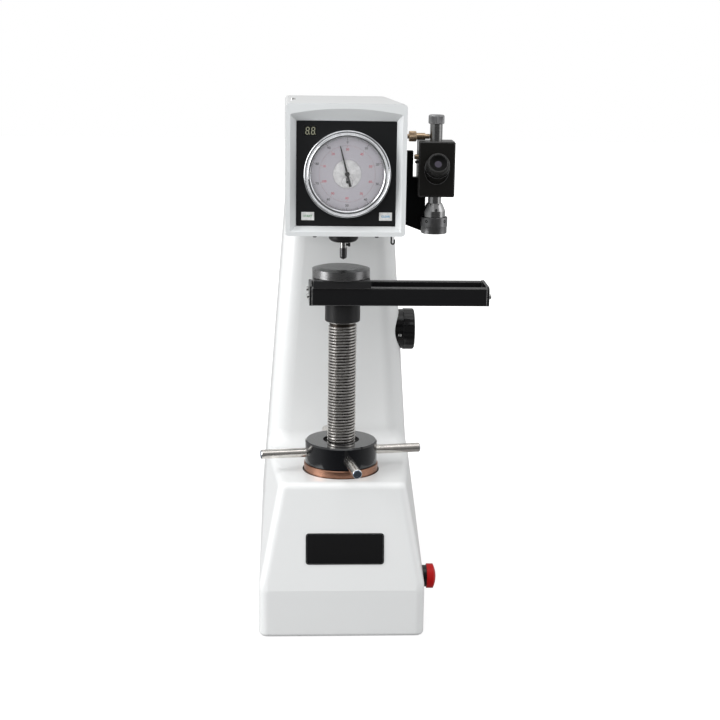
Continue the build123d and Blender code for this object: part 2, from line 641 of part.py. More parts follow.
def key_block(x, y0, y1, grow=0.0):
    """Rectangular key body between two Y planes."""
    w, h = (KEY_W + grow) / 2, (KEY_H + grow) / 2
    return block(x - w, x + w, y0, y1, KEY_Z - h, KEY_Z + h)


def panel_key(x):
    """Push key with a flange that stops it behind the panel."""
    key = key_block(x, PANEL_FRONT_Y - KEY_PROUD, PANEL_BACK_Y + KEY_BACK)
    key = fillet(edges_where(key, lambda a, y, z: y < PANEL_FRONT_Y - KEY_PROUD + 0.5), 0.6)
    flange = key_block(x, PANEL_BACK_Y + KEY_GAP, PANEL_BACK_Y + KEY_GAP + KEY_FLANGE, 2 * KEY_FLANGE)
    return key + flange


# ---------------------------------------------------------------- dial
def dial_case():
    """Cup behind the panel with a mounting flange, a centre post and the fixed centre disc."""
    face_back = FACE_Y + FACE_T
    cup = turned_y([(0, CASE_BACK_Y), (CASE_R, CASE_BACK_Y), (CASE_R, CASE_FRONT_Y),
                    (CASE_R - CASE_WALL, CASE_FRONT_Y), (CASE_R - CASE_WALL, CASE_BACK_Y - CASE_WALL),
                    (CENTRE_POST_R, CASE_BACK_Y - CASE_WALL), (CENTRE_POST_R, face_back),
                    (CENTRE_DISC_R, face_back), (CENTRE_DISC_R, FACE_Y), (0, FACE_Y)], DIAL_X, DIAL_Z)
    cup += turned_y([(CASE_R - 1, PANEL_BACK_Y), (CASE_FLANGE_R, PANEL_BACK_Y),
                     (CASE_FLANGE_R, PANEL_BACK_Y + CASE_FLANGE_T), (CASE_R - 1, PANEL_BACK_Y + CASE_FLANGE_T)],
                    DIAL_X, DIAL_Z)
    cup -= rod_y(FACE_Y - 1, CASE_BACK_Y + 1, DIAL_X, DIAL_Z, ARBOR_R + FIT)
    return cup - rod_y(FACE_Y - 1, FACE_Y + WALL, DIAL_X, DIAL_Z - TURN_POINTER_DROP, TURN_ARBOR_R + FIT)


def dial_bezel():
    """Chromed ring that turns on the case and carries the glass and the dial face."""
    skirt_r = CASE_R + BEZEL_GAP
    back = PANEL_FRONT_Y - BEZEL_GAP
    return turned_y([(BEZEL_OPEN_R, BEZEL_FRONT_Y + BEZEL_LIP_T), (BEZEL_OPEN_R + 1.5, BEZEL_FRONT_Y),
                     (BEZEL_R - 2.5, BEZEL_FRONT_Y), (BEZEL_R, BEZEL_FRONT_Y + 4), (BEZEL_R, back),
                     (skirt_r, back), (skirt_r, BEZEL_FRONT_Y + BEZEL_LIP_T)], DIAL_X, DIAL_Z)


def dial_glass():
    """Flat glass disc seated behind the bezel's lip."""
    front = BEZEL_FRONT_Y + BEZEL_LIP_T
    return rod_y(front, front + GLASS_T, DIAL_X, DIAL_Z, CASE_R + BEZEL_GAP)


def dial_face():
    """Annular scale plate that turns with the bezel round the fixed centre disc."""
    plate = rod_y(FACE_Y, FACE_Y + FACE_T, DIAL_X, DIAL_Z, CASE_R + BEZEL_GAP)
    return plate - rod_y(FACE_Y - 1, FACE_Y + FACE_T + 1, DIAL_X, DIAL_Z, CENTRE_DISC_R + BEZEL_GAP)


def pointer(x, z, tip, tail, hub_r, arbor_r, arbor_y, y, lean):
    """Tapered hand on a round hub and an arbor that runs back into the case."""
    outline = [(-0.5, tip), (0.5, tip), (1.3, 0), (1.7, -tail), (-1.7, -tail), (-1.3, 0)]
    scale = hub_r / POINTER_HUB_R
    hand = front_slab([(px * scale, pz) for px, pz in outline], 0, POINTER_T)
    hand += rod_y(-POINTER_T, POINTER_T * 1.5, 0, 0, hub_r) + rod_y(0, arbor_y - y, 0, 0, arbor_r)
    return Pos(x, y, z) * Rot(0, -lean, 0) * hand


def main_pointer():
    """Long hand, thick at its tail, leaning to the left at rest."""
    return pointer(DIAL_X, DIAL_Z, POINTER_TIP_R, POINTER_TAIL_R, POINTER_HUB_R, ARBOR_R,
                   CASE_BACK_Y - CASE_WALL / 2, POINTER_Y, POINTER_LEAN)


def turn_pointer():
    """Short hand that counts the turns of the long one."""
    y = FACE_Y - POINTER_T * 1.5 - BEZEL_GAP
    return pointer(DIAL_X, DIAL_Z - TURN_POINTER_DROP, TURN_POINTER_R, TURN_POINTER_R / 3, 1.5, TURN_ARBOR_R,
                   FACE_Y + WALL - 1, y, POINTER_LEAN)


# ---------------------------------------------------------------- spindle
def spindle_housing():
    """Black flange under the head with a long sleeve that guides the spindle."""
    lip_r = NOSE_R + SPINDLE_LIP_GAP
    lip_z = FLANGE_Z0 + SPINDLE_LIP_T
    rim_z = FLANGE_Z0 + FLANGE_DISH_H
    bulge = FLANGE_NOSE_R + (FLANGE_R - FLANGE_NOSE_R) * sin(radians(45))
    dish = ThreePointArc((FLANGE_NOSE_R, 0, FLANGE_Z0), (bulge, 0, rim_z - FLANGE_DISH_H * cos(radians(45))),
                         (FLANGE_R, 0, rim_z))
    rest = Polyline((FLANGE_R, 0, rim_z), (FLANGE_R, 0, HEAD_Z), (SLEEVE_R, 0, HEAD_Z), (SLEEVE_R, 0, SLEEVE_TOP_Z),
                    (SPINDLE_R + FIT, 0, SLEEVE_TOP_Z), (SPINDLE_R + FIT, 0, lip_z), (lip_r, 0, lip_z),
                    (lip_r, 0, FLANGE_Z0), (FLANGE_NOSE_R, 0, FLANGE_Z0))
    return revolve(make_face(dish + rest), Axis.Z, 360)


def spindle():
    """Ground steel spindle with a slim nose for the indenter holder."""
    shoulder_z = FLANGE_Z0 + SPINDLE_LIP_T + SPINDLE_LIP_GAP
    body = turned_z([(0, NOSE_Z0), (NOSE_R, NOSE_Z0), (NOSE_R, shoulder_z), (SPINDLE_R, shoulder_z),
                     (SPINDLE_R, SPINDLE_TOP_Z - 1), (SPINDLE_R - 1, SPINDLE_TOP_Z), (0, SPINDLE_TOP_Z)])
    return body - rod_x(0, NOSE_R + 1, 0, SET_SCREW_Z, SET_SCREW_R)


def indenter_holder():
    """Dark holder that plugs on to the spindle's nose and rounds off to the indenter."""
    shoulder_z = HOLDER_Z0 + HOLDER_END_H
    bulge = HOLDER_END_R + (HOLDER_R - HOLDER_END_R) * sin(radians(45))
    end = ThreePointArc((HOLDER_END_R, 0, HOLDER_Z0), (bulge, 0, shoulder_z - HOLDER_END_H * cos(radians(45))),
                        (HOLDER_R, 0, shoulder_z))
    rest = Polyline((HOLDER_R, 0, shoulder_z), (HOLDER_R, 0, NOSE_Z0), (0, 0, NOSE_Z0), (0, 0, HOLDER_Z0),
                    (HOLDER_END_R, 0, HOLDER_Z0))
    return revolve(make_face(end + rest), Axis.Z, 360)


def indenter_tip():
    """Cone indenter, a diamond brazed in a small steel seat."""
    return turned_z([(0, TIP_Z), (TIP_R, HOLDER_Z0 - 0.4), (TIP_R, HOLDER_Z0), (0, HOLDER_Z0)])


def indenter_screw():
    """Set screw that clamps the indenter in the spindle's nose."""
    shank = rod_x(0.5, SET_SCREW_OUT, 0, SET_SCREW_Z, SET_SCREW_R)
    return shank + rod_x(SET_SCREW_OUT - 3, SET_SCREW_OUT, 0, SET_SCREW_Z, SET_SCREW_R + 0.9)


# ---------------------------------------------------------------- elevating screw and handwheel
def screw_guide():
    """Sleeve in the nose with the key that keeps the elevating screw from turning."""
    top = PLATFORM_Z - RING_SEAT_D
    sleeve = rod_z(GUIDE_Z0, top, 0, 0, GUIDE_R) - rod_z(GUIDE_Z0 - 1, top + 1, 0, 0, SCREW_R + SCREW_FIT)
    key_face = SCREW_R - KEY_SLOT_D + SCREW_FIT
    half = KEY_SLOT_W / 2 - SCREW_FIT
    return sleeve + block(-half, half, key_face, SCREW_R + SCREW_FIT + 1, GUIDE_Z0, top)


def thrust_ring():
    """Bronze ring that carries the hub, seated in a shallow recess of the platform."""
    profile = [(RING_BORE_R, PLATFORM_Z - RING_SEAT_D), (RING_R, PLATFORM_Z - RING_SEAT_D),
               (RING_R, RING_TOP_Z - 0.8), (RING_R - 0.8, RING_TOP_Z), (RING_BORE_R, RING_TOP_Z)]
    return turned_z(profile)


def handwheel_hub():
    """Hub nut with a recess round the screw and four radial sockets for the spokes."""
    bore = SCREW_R + SCREW_FIT
    hub = turned_z([(bore, HUB_Z0), (HUB_R - 1, HUB_Z0), (HUB_R, HUB_Z0 + 1), (HUB_R, HUB_Z1 - HUB_EDGE),
                    (HUB_R - HUB_EDGE, HUB_Z1), (HUB_RECESS_R, HUB_Z1), (HUB_RECESS_R, HUB_Z1 - HUB_RECESS_D),
                    (bore, HUB_Z1 - HUB_RECESS_D)])
    for angle in spoke_angles():
        hub -= Rot(0, 0, angle) * rod_x(SPOKE_ROOT, HUB_R + 1, 0, SPOKE_Z, SPOKE_R)
    return hub


def spoke_angles():
    """Directions of the spokes in degrees from +X."""
    return [SPOKE_ANGLE + i * 360 / SPOKE_COUNT for i in range(SPOKE_COUNT)]


def handwheel_spokes():
    """Round chromed bars screwed into the hub."""
    bar = turned_x([(SPOKE_ROOT, 0), (SPOKE_ROOT, SPOKE_R), (SPOKE_TIP - SPOKE_EDGE, SPOKE_R),
                    (SPOKE_TIP, SPOKE_R - SPOKE_EDGE), (SPOKE_TIP, 0)], 0, SPOKE_Z)
    return Compound(children=[Rot(0, 0, angle) * bar for angle in spoke_angles()])


def elevating_screw():
    """Screw blank at thread crest size, with a keyway up its back and a spigot on top."""
    top = STAGE_Z + BOSS_H
    screw = turned_z([(0, SCREW_Z0), (SCREW_R - 1.5, SCREW_Z0), (SCREW_R, SCREW_Z0 + 1.5),
                      (SCREW_R, SCREW_SHOULDER_Z), (SPIGOT_R, SCREW_SHOULDER_Z), (SPIGOT_R, top), (0, top)])
    half = KEY_SLOT_W / 2
    return screw - block(-half, half, SCREW_R - KEY_SLOT_D, SCREW_R + 1, SCREW_Z0 - 1, SCREW_SHOULDER_Z - 4)


def screw_collar():
    """Collar on the screw's spigot with a boss that fits between the rails."""
    boss_r = RAIL_IN_Y - BOSS_GAP
    return turned_z([(SPIGOT_R, SCREW_SHOULDER_Z), (COLLAR_R - 1, SCREW_SHOULDER_Z),
                     (COLLAR_R, SCREW_SHOULDER_Z + 1), (COLLAR_R, STAGE_Z), (boss_r, STAGE_Z),
                     (boss_r, STAGE_Z + BOSS_H), (SPIGOT_R, STAGE_Z + BOSS_H)])


# ---------------------------------------------------------------- rail stage
def stage_rail(side):
    """Long rail beside the slot; side is -1 for the front and 1 for the rear."""
    y0, y1 = sorted((side * RAIL_IN_Y, side * RAIL_OUT_Y))
    rail = block(RAIL_X0, RAIL_X1, y0, y1, STAGE_Z, STAGE_Z + RAIL_H)
    rail = chamfer(rail.edges().filter_by(Axis.X), 0.6)
    middle = side * (RAIL_IN_Y + RAIL_OUT_Y) / 2
    for x0, x1 in ((RAIL_X0 - 1, RAIL_X0 + WALL), (RAIL_X1 - WALL, RAIL_X1 + 1)):
        rail -= rod_x(x0, x1, middle, RAIL_SCREW_Z, SCREW_SHANK_R)
    return rail


def stage_end(x0, x1):
    """End plate across both rails with a round-cornered raised top edge."""
    plate = block(x0, x1, -RAIL_OUT_Y, RAIL_OUT_Y, STAGE_Z, STAGE_Z + RAIL_H + END_RISE)
    plate = fillet(edges_where(plate, lambda x, y, z: abs(y) > RAIL_OUT_Y - 1 and z > STAGE_Z + RAIL_H), 6)
    for side in (-1, 1):
        plate -= rod_x(x0 - 1, x1 + 1, side * (RAIL_IN_Y + RAIL_OUT_Y) / 2, RAIL_SCREW_Z, SCREW_SHANK_R)
    return plate


def stage_screws():
    """Four round-headed screws that hold the end plates to the rails."""
    screws = []
    for side in (-1, 1):
        y = side * (RAIL_IN_Y + RAIL_OUT_Y) / 2
        left = RAIL_X0 - END_T
        right = RAIL_X1 + END_T
        screws.append(rod_x(left, RAIL_X0 + WALL, y, RAIL_SCREW_Z, SCREW_SHANK_R)
                      + rod_x(left - RAIL_SCREW_H, left, y, RAIL_SCREW_Z, RAIL_SCREW_R))
        screws.append(rod_x(RAIL_X1 - WALL, right, y, RAIL_SCREW_Z, SCREW_SHANK_R)
                      + rod_x(right, right + RAIL_SCREW_H, y, RAIL_SCREW_Z, RAIL_SCREW_R))
    return Compound(children=screws)


def slide_block():
    """Block that slides on the rails, guided by a tongue in the slot."""
    base = STAGE_Z + RAIL_H + SLIDE_GAP
    body = block(BLOCK_X0, BLOCK_X1, -BLOCK_HALF_Y, BLOCK_HALF_Y, base, base + BLOCK_H)
    body = chamfer(edges_where(body, lambda x, y, z: z > base + BLOCK_H - 0.5), 0.8)
    tongue_y = RAIL_IN_Y - TONGUE_GAP
    body += block(BLOCK_X0, BLOCK_X1, -tongue_y, tongue_y, base - TONGUE_H, base + 1)
    return body - rod_z(base + BLOCK_H - ANVIL_STUD_L, base + BLOCK_H + 1, ANVIL_X, 0, ANVIL_STUD_R)


def anvil():
    """Round testing table with a shallow bevel and a stud that locates in the slide block."""
    base = STAGE_Z + RAIL_H + SLIDE_GAP + BLOCK_H
    top = base + ANVIL_H
    return turned_z([(0, base - ANVIL_STUD_L), (ANVIL_STUD_R, base - ANVIL_STUD_L), (ANVIL_STUD_R, base),
                     (ANVIL_R - 0.8, base), (ANVIL_R, base + 0.8), (ANVIL_R, top - ANVIL_BEVEL_H),
                     (ANVIL_FLAT_R, top), (0, top)], ANVIL_X, 0)


# ---------------------------------------------------------------- microscope
def eye_plane():
    """Plane on the front of the microscope body, square to the tilted eyepiece."""
    tilt = radians(EYE_TILT)
    return Plane(origin=(SCOPE_X, SCOPE_FRONT_Y, EYE_Z), x_dir=(1, 0, 0), z_dir=(0, -cos(tilt), sin(tilt)))


def microscope_bracket():
    """Stepped plate that carries the microscope on the right wall of the head."""
    x0 = HEAD_HALF_W
    plate = front_slab([(x0, BRACKET_UP_Z), (BRACKET_UP_X, BRACKET_UP_Z), (BRACKET_UP_X, BRACKET_STEP_Z),
                        (BRACKET_LOW_X, BRACKET_STEP_Z), (BRACKET_LOW_X, BRACKET_TIP_Z),
                        (x0, BRACKET_LOW_Z)], SCOPE_BACK_Y, BRACKET_Y1)
    return fillet(edges_where(plate, lambda x, y, z: x > BRACKET_LOW_X - 0.5 and z > BRACKET_TIP_Z + 20
                              and abs(y - (SCOPE_BACK_Y + BRACKET_Y1) / 2) < 1), 3)


def microscope_body():
    """Black optical housing with sockets for the lamp tube, eyepiece tube and objective."""
    half = SCOPE_W / 2
    box = block(SCOPE_X - half, SCOPE_X + half, SCOPE_FRONT_Y, SCOPE_BACK_Y, SCOPE_Z0, SCOPE_Z1)
    box = chamfer(box.edges(), SCOPE_EDGE)
    box -= rod_z(SCOPE_Z1 - WALL, SCOPE_Z1 + 1, SCOPE_X, 0, LAMP_R)
    box -= rod_z(SCOPE_Z0 - 1, SCOPE_Z0 + WALL, SCOPE_X, 0, OBJ_NECK_R)
    return box - eye_plane() * Cylinder(EYE_TUBE_R, 2 * EYE_TUBE_L + 2)


def lamp_tube():
    """Lamp tube standing in the top of the microscope."""
    return rod_z(SCOPE_Z1 - WALL, LAMP_Z1 + WALL / 2, SCOPE_X, 0, LAMP_R - 1) + rod_z(
        SCOPE_Z1 - WALL, LAMP_Z1 - CAP_SKIRT_GAP, SCOPE_X, 0, LAMP_R)


def lamp_cap():
    """Knurled cap that screws over the top of the lamp tube."""
    inner = LAMP_R - 1 + FIT
    roof = LAMP_Z1 + WALL / 2 + CAP_SKIRT_GAP
    return turned_z([(inner, LAMP_Z1), (CAP_R - 0.6, LAMP_Z1), (CAP_R, LAMP_Z1 + 0.6), (CAP_R, CAP_Z1 - 1.5),
                     (CAP_R - 1.5, CAP_Z1), (0, CAP_Z1), (0, roof), (inner, roof)], SCOPE_X, 0)


def eyepiece_tube():
    """Short tilted tube on the front of the microscope that holds the eyepiece."""
    outer = Pos(0, 0, (EYE_TUBE_L - WALL) / 2) * Cylinder(EYE_TUBE_R, EYE_TUBE_L + WALL)
    neck = Pos(0, 0, EYE_TUBE_L + 3) * Cylinder(EYE_BORE_R + 1.5, 6)
    bore = Pos(0, 0, EYE_TUBE_L) * Cylinder(EYE_BORE_R - 1, 2 * EYE_TUBE_L)
    tube = eye_plane() * (outer + neck - bore)
    return tube


def eyepiece_ring():
    """Focusing ring of the eyepiece, turning on the tube's neck."""
    profile = [(EYE_BORE_R + 1.5 + FIT, EYE_TUBE_L + 0.3), (EYE_RING_R, EYE_TUBE_L + 0.3),
               (EYE_RING_R, EYE_RING_L - 1.5), (EYE_RING_R - 1.5, EYE_RING_L), (EYE_BORE_R, EYE_RING_L),
               (EYE_BORE_R, EYE_TUBE_L + 6.3), (EYE_BORE_R + 1.5 + FIT, EYE_TUBE_L + 6.3)]
    ring = revolve(make_face(Plane.XZ * Polyline(*profile, close=True)), Axis.Z, 360)
    return eye_plane() * ring


def eyepiece_lens():
    """Glass of the eyepiece, set back in its ring."""
    return eye_plane() * Pos(0, 0, EYE_RING_L - EYE_LENS_DEPTH + EYE_LENS_T / 2) * Cylinder(EYE_BORE_R, EYE_LENS_T)


def objective_barrel():
    """Bright barrel under the microscope: neck, cone and a spigot for the focusing ring."""
    cone_z = OBJ_BARREL_Z0 + OBJ_CONE_H
    return turned_z([(OBJ_LENS_R, OBJ_RING_Z0), (OBJ_SPIGOT_R, OBJ_RING_Z0), (OBJ_SPIGOT_R, OBJ_BARREL_Z0 + 0.3),
                     (OBJ_BARREL_R, OBJ_BARREL_Z0 + 0.3), (OBJ_BARREL_R, cone_z), (OBJ_NECK_R + 1.5, OBJ_NECK_Z0),
                     (OBJ_NECK_R, OBJ_NECK_Z0), (OBJ_NECK_R, SCOPE_Z0 + WALL), (OBJ_LENS_R, SCOPE_Z0 + WALL)],
                    SCOPE_X, 0)


def objective_ring():
    """Knurled focusing ring with a closed black nose below it."""
    bore = OBJ_SPIGOT_R + FIT
    return turned_z([(OBJ_LENS_R, OBJ_FACE_Z0), (OBJ_FACE_R - 1, OBJ_FACE_Z0), (OBJ_FACE_R, OBJ_FACE_Z0 + 1),
                     (OBJ_FACE_R, OBJ_RING_Z0 - 0.5), (OBJ_RING_R, OBJ_RING_Z0), (OBJ_RING_R, OBJ_BARREL_Z0 - 0.6),
                     (OBJ_RING_R - 0.6, OBJ_BARREL_Z0), (bore, OBJ_BARREL_Z0), (bore, OBJ_RING_Z0 - 0.3),
                     (OBJ_LENS_R, OBJ_RING_Z0 - 0.3)], SCOPE_X, 0)


def objective_lens():
    """Front lens of the objective."""
    return rod_z(OBJ_FACE_Z0 + 1, OBJ_FACE_Z0 + 4, SCOPE_X, 0, OBJ_LENS_R)


def clamp_screw():
    """Brass clamp screw between the head's wall and the lamp tube."""
    tip = SCOPE_X - LAMP_R - CLAMP_GAP
    return turned_x([(HEAD_HALF_W - WALL, 0), (HEAD_HALF_W - WALL, CLAMP_STUD_R), (CLAMP_KNOB_X0, CLAMP_STUD_R),
                     (CLAMP_KNOB_X0, CLAMP_KNOB_R), (CLAMP_KNOB_X1, CLAMP_KNOB_R), (CLAMP_KNOB_X1, CLAMP_BODY_R),
                     (CLAMP_BODY_X1, CLAMP_BODY_R), (CLAMP_BODY_X1, CLAMP_TIP_R), (tip, CLAMP_TIP_R), (tip, 0)],
                    CLAMP_Y, CLAMP_Z)


# ---------------------------------------------------------------- side controls
def force_ring():
    """Black ring with the force figures, turning with the knob in the casting's seat."""
    ring = rod_x(KNOB_SEAT_X + KNOB_SEAT_GAP, KNOB_RING_X1, KNOB_Y, KNOB_Z, KNOB_RING_R)
    return ring - rod_x(KNOB_SEAT_X, KNOB_RING_X1 + 1, KNOB_Y, KNOB_Z, SHAFT_R)


def force_knob():
    """Barrel-shaped grip of the force selector."""
    middle = (KNOB_RING_X1 + KNOB_X1) / 2
    crown = ThreePointArc((KNOB_RING_X1, KNOB_R - 1.5), (middle, KNOB_R), (KNOB_X1 - 2, KNOB_R - 1.5))
    rim = Polyline((KNOB_X1 - 2, KNOB_R - 1.5), (KNOB_X1, KNOB_R - 4), (KNOB_X1, 0), (KNOB_RING_X1, 0),
                   (KNOB_RING_X1, KNOB_R - 1.5))
    knob = Pos(0, KNOB_Y, KNOB_Z) * revolve(make_face(crown + rim), Axis.X, 360)
    return knob - rod_x(KNOB_RING_X1 - 1, KNOB_X1 - 4, KNOB_Y, KNOB_Z, SHAFT_R)


def selector_shaft():
    """Shaft of the force selector with an eccentric lobe for each weight fork."""
    shaft = rod_x(SHAFT_X0, KNOB_X1 - 4, KNOB_Y, KNOB_Z, SHAFT_R)
    for i, x in enumerate(CAM_LOBE_XS):
        lobe = Pos(x, KNOB_Y, KNOB_Z) * Rot(120 * i, 0, 0) * Pos(0, 3, 0) * Rot(0, 90, 0)
        shaft += lobe * Cylinder(CAM_LOBE_R, CAM_LOBE_T)
    return shaft


def stop_collar():
    """Black collar of the emergency stop, its neck passing through the side wall."""
    bore = STOP_STEM_R + FIT
    return turned_x([(STOP_INNER_X + 1, bore), (STOP_INNER_X + 1, STOP_NECK_R), (STOP_COLLAR_X0, STOP_NECK_R),
                     (STOP_COLLAR_X0, STOP_COLLAR_R), (STOP_COLLAR_X1 - 1, STOP_COLLAR_R),
                     (STOP_COLLAR_X1, STOP_COLLAR_R - 1), (STOP_COLLAR_X1, bore)], STOP_Y, STOP_Z)


def stop_plunger():
    """Plunger of the emergency stop, sliding in the collar."""
    return turned_x([(STOP_INNER_X - 4, 0), (STOP_INNER_X - 4, STOP_STEM_R), (STOP_HEAD_X0 - 0.3, STOP_STEM_R),
                     (STOP_HEAD_X0 - 0.3, STOP_STEM_R - 2), (STOP_HEAD_X0 + 3, STOP_STEM_R - 2),
                     (STOP_HEAD_X0 + 3, 0)], STOP_Y, STOP_Z)


def stop_head():
    """Red mushroom head that twists on the plunger to release it."""
    bore = STOP_STEM_R - 2 + FIT
    skirt_x = STOP_HEAD_X0 - STOP_SKIRT_L
    skirt_r = STOP_COLLAR_R + STOP_SKIRT_GAP
    edge = Polyline((STOP_HEAD_X0 + 3.3, 0), (STOP_HEAD_X0 + 3.3, bore), (STOP_HEAD_X0, bore),
                    (STOP_HEAD_X0, skirt_r), (skirt_x, skirt_r), (skirt_x, STOP_HEAD_R - 0.5),
                    (skirt_x + 0.5, STOP_HEAD_R), (STOP_HEAD_X0 + 3.5, STOP_HEAD_R))
    rise = STOP_HEAD_X1 - STOP_HEAD_X0 - 3.5
    dome_r = (rise ** 2 + STOP_HEAD_R ** 2) / (2 * rise)
    half = STOP_HEAD_R / 2
    dome = ThreePointArc((STOP_HEAD_X0 + 3.5, STOP_HEAD_R),
                         (STOP_HEAD_X1 - dome_r + sqrt(dome_r ** 2 - half ** 2), half), (STOP_HEAD_X1, 0))
    face = make_face(edge + dome + Line((STOP_HEAD_X1, 0), (STOP_HEAD_X0 + 3.3, 0)))
    return Pos(0, STOP_Y, STOP_Z) * revolve(face, Axis.X, 360)


# ---------------------------------------------------------------- load train inside the casting
def lever_point(y, radius, x0, x1):
    """Round bar across the lever at distance y, level with its pivot."""
    return rod_x(x0, x1, y, PIVOT_Z, radius)


def loading_lever():
    """Main lever with its pivot bore, spindle pad and the two rear link pins."""
    half = LEVER_W / 2
    bar = side_slab([(LEVER_FRONT_Y, PIVOT_Z - LEVER_H / 2), (LEVER_FRONT_Y, PIVOT_Z + LEVER_H / 2),
                     (HANGER_Y / 2, PIVOT_Z + LEVER_H / 2 + 4), (LEVER_BACK_Y, PIVOT_Z + LEVER_H / 2 - 4),
                     (LEVER_BACK_Y, PIVOT_Z - LEVER_H / 2 + 6), (HANGER_Y / 2, PIVOT_Z - LEVER_H / 2)],
                    -half, half)
    bar += lever_point(HANGER_Y, LINK_PIN_R, -LINK_PIN_L / 2, LINK_PIN_L / 2)
    bar += lever_point(PISTON_Y, LINK_PIN_R, -LINK_PIN_L / 2, LINK_PIN_L / 2)
    bar += rod_z(SPINDLE_TOP_Z + LEVER_PAD_GAP, PIVOT_Z, 0, 0, LEVER_PAD_R)
    bar += lever_point(PIVOT_Y, PIVOT_BOSS_R, -PIVOT_BOSS_L / 2, PIVOT_BOSS_L / 2)
    return bar - lever_point(PIVOT_Y, LEVER_PIN_R + FIT, -PIVOT_BOSS_L, PIVOT_BOSS_L)


def lever_fulcrum():
    """Forked block on the head's floor with the hardened pivot pin."""
    inner = PIVOT_BOSS_L / 2 + FULCRUM_GAP
    outer = inner + FULCRUM_T
    seat = HEAD_Z + HEAD_FLOOR_T
    fork = lever_point(PIVOT_Y, LEVER_PIN_R, -outer, outer)
    for side in (-1, 1):
        x0, x1 = sorted((side * inner, side * outer))
        cheek = block(x0, x1, PIVOT_Y - FULCRUM_D / 2, PIVOT_Y + FULCRUM_D / 2, seat, PIVOT_Z + FULCRUM_D / 2)
        cheek = fillet(edges_where(cheek, lambda x, y, z: z > PIVOT_Z + FULCRUM_D / 2 - 1 and
                                   abs(y - PIVOT_Y) > 5), FULCRUM_D / 3)
        fork += cheek
    return fork


def link_cheeks(y, bridge_z):
    """Two side plates hung on a lever pin and joined by a bridge under the lever."""
    inner = LEVER_W / 2 + LINK_GAP
    outer = inner + HANGER_CHEEK_T
    half = HANGER_CHEEK_W / 2
    link = block(-outer, outer, y - half, y + half, bridge_z, bridge_z + HANGER_BRIDGE_T)
    for side in (-1, 1):
        x0, x1 = sorted((side * inner, side * outer))
        link += block(x0, x1, y - half, y + half, bridge_z, PIVOT_Z + half)
    return link - lever_point(y, LINK_PIN_R + LINK_CLEAR, -outer - 1, outer + 1)


def hanger_foot_z():
    """Height of the hanger's foot above the lifting cam at rest."""
    return CAM_Z + CAM_R_MAX + CAM_FOLLOW_GAP


def weight_hanger():
    """Stirrup and rod that hang the weights from the lever; its foot rides on the cam."""
    foot = hanger_foot_z()
    rod = turned_z([(0, foot), (2, foot), (HANGER_ROD_R, foot + 6), (HANGER_ROD_R, HANGER_PLATE_Z),
                    (HANGER_PLATE_R, HANGER_PLATE_Z), (HANGER_PLATE_R, HANGER_PLATE_Z + HANGER_PLATE_T),
                    (HANGER_ROD_R, HANGER_PLATE_Z + HANGER_PLATE_T), (HANGER_ROD_R, HANGER_BRIDGE_Z + 1),
                    (0, HANGER_BRIDGE_Z + 1)], 0, HANGER_Y)
    return link_cheeks(HANGER_Y, HANGER_BRIDGE_Z) + rod


def weight_discs():
    """Three weight discs stacked on the hanger's plate, one for each force step."""
    discs = []
    z = HANGER_PLATE_Z + HANGER_PLATE_T
    for height in DISC_HEIGHTS:
        disc = chamfer(rod_z(z, z + height, 0, HANGER_Y, DISC_R).edges(), 1.0)
        discs.append(disc - rod_z(z - 1, z + height + 1, 0, HANGER_Y, HANGER_ROD_R + DISC_GAP))
        z += height
    return Compound(children=discs)


def lift_cam():
    """Spiral cam keyed to its shaft: its radius falls evenly with the angle turned."""
    steps = 12
    points = []
    for i in range(steps + 1):
        turn = radians(90 - CAM_SWEEP * i / steps)
        r = CAM_R_MAX - (CAM_R_MAX - CAM_R_MIN) * i / steps
        points.append((HANGER_Y + r * cos(turn), CAM_Z + r * sin(turn)))
    outline = Spline(*points) + Line(points[-1], points[0])
    cam = extrude(Plane.YZ.offset(-CAM_T / 2) * make_face(outline), amount=CAM_T)
    return cam + rod_x(MOTOR_X1 - CAM_SHAFT_IN, CAM_SHAFT_X1, HANGER_Y, CAM_Z, CAM_SHAFT_R)


def load_motor():
    """Geared loading motor on the base floor with the bearing of the cam shaft."""
    body = block(MOTOR_X0, MOTOR_X1, HANGER_Y - MOTOR_HALF_Y, HANGER_Y + MOTOR_HALF_Y, FLOOR_T, MOTOR_TOP_Z)
    body = fillet(edges_where(body, lambda x, y, z: z > FLOOR_T + 1), 5)
    return body - rod_x(MOTOR_X1 - CAM_SHAFT_IN - SEAT_GAP, MOTOR_X1 + 1, HANGER_Y, CAM_Z, CAM_SHAFT_R + FIT)


def damper_cylinder():
    """Oil damper standing on the shelf inside the column."""
    inner = DAMPER_R - DAMPER_WALL
    cup = turned_z([(0, DAMPER_Z0), (DAMPER_R, DAMPER_Z0), (DAMPER_R, DAMPER_Z1), (PISTON_ROD_R + FIT, DAMPER_Z1),
                    (PISTON_ROD_R + FIT, DAMPER_Z1 - 4), (inner, DAMPER_Z1 - 4), (inner, DAMPER_Z0 + 4),
                    (0, DAMPER_Z0 + 4)], 0, PISTON_Y)
    return cup


def damper_piston():
    """Piston and rod of the damper, hung from the lever by a fork."""
    head_z = (DAMPER_Z0 + DAMPER_Z1) / 2
    rod = rod_z(head_z, HANGER_BRIDGE_Z + 1, 0, PISTON_Y, PISTON_ROD_R)
    return rod + rod_z(head_z, head_z + PISTON_T, 0, PISTON_Y, PISTON_R) + link_cheeks(PISTON_Y, HANGER_BRIDGE_Z)


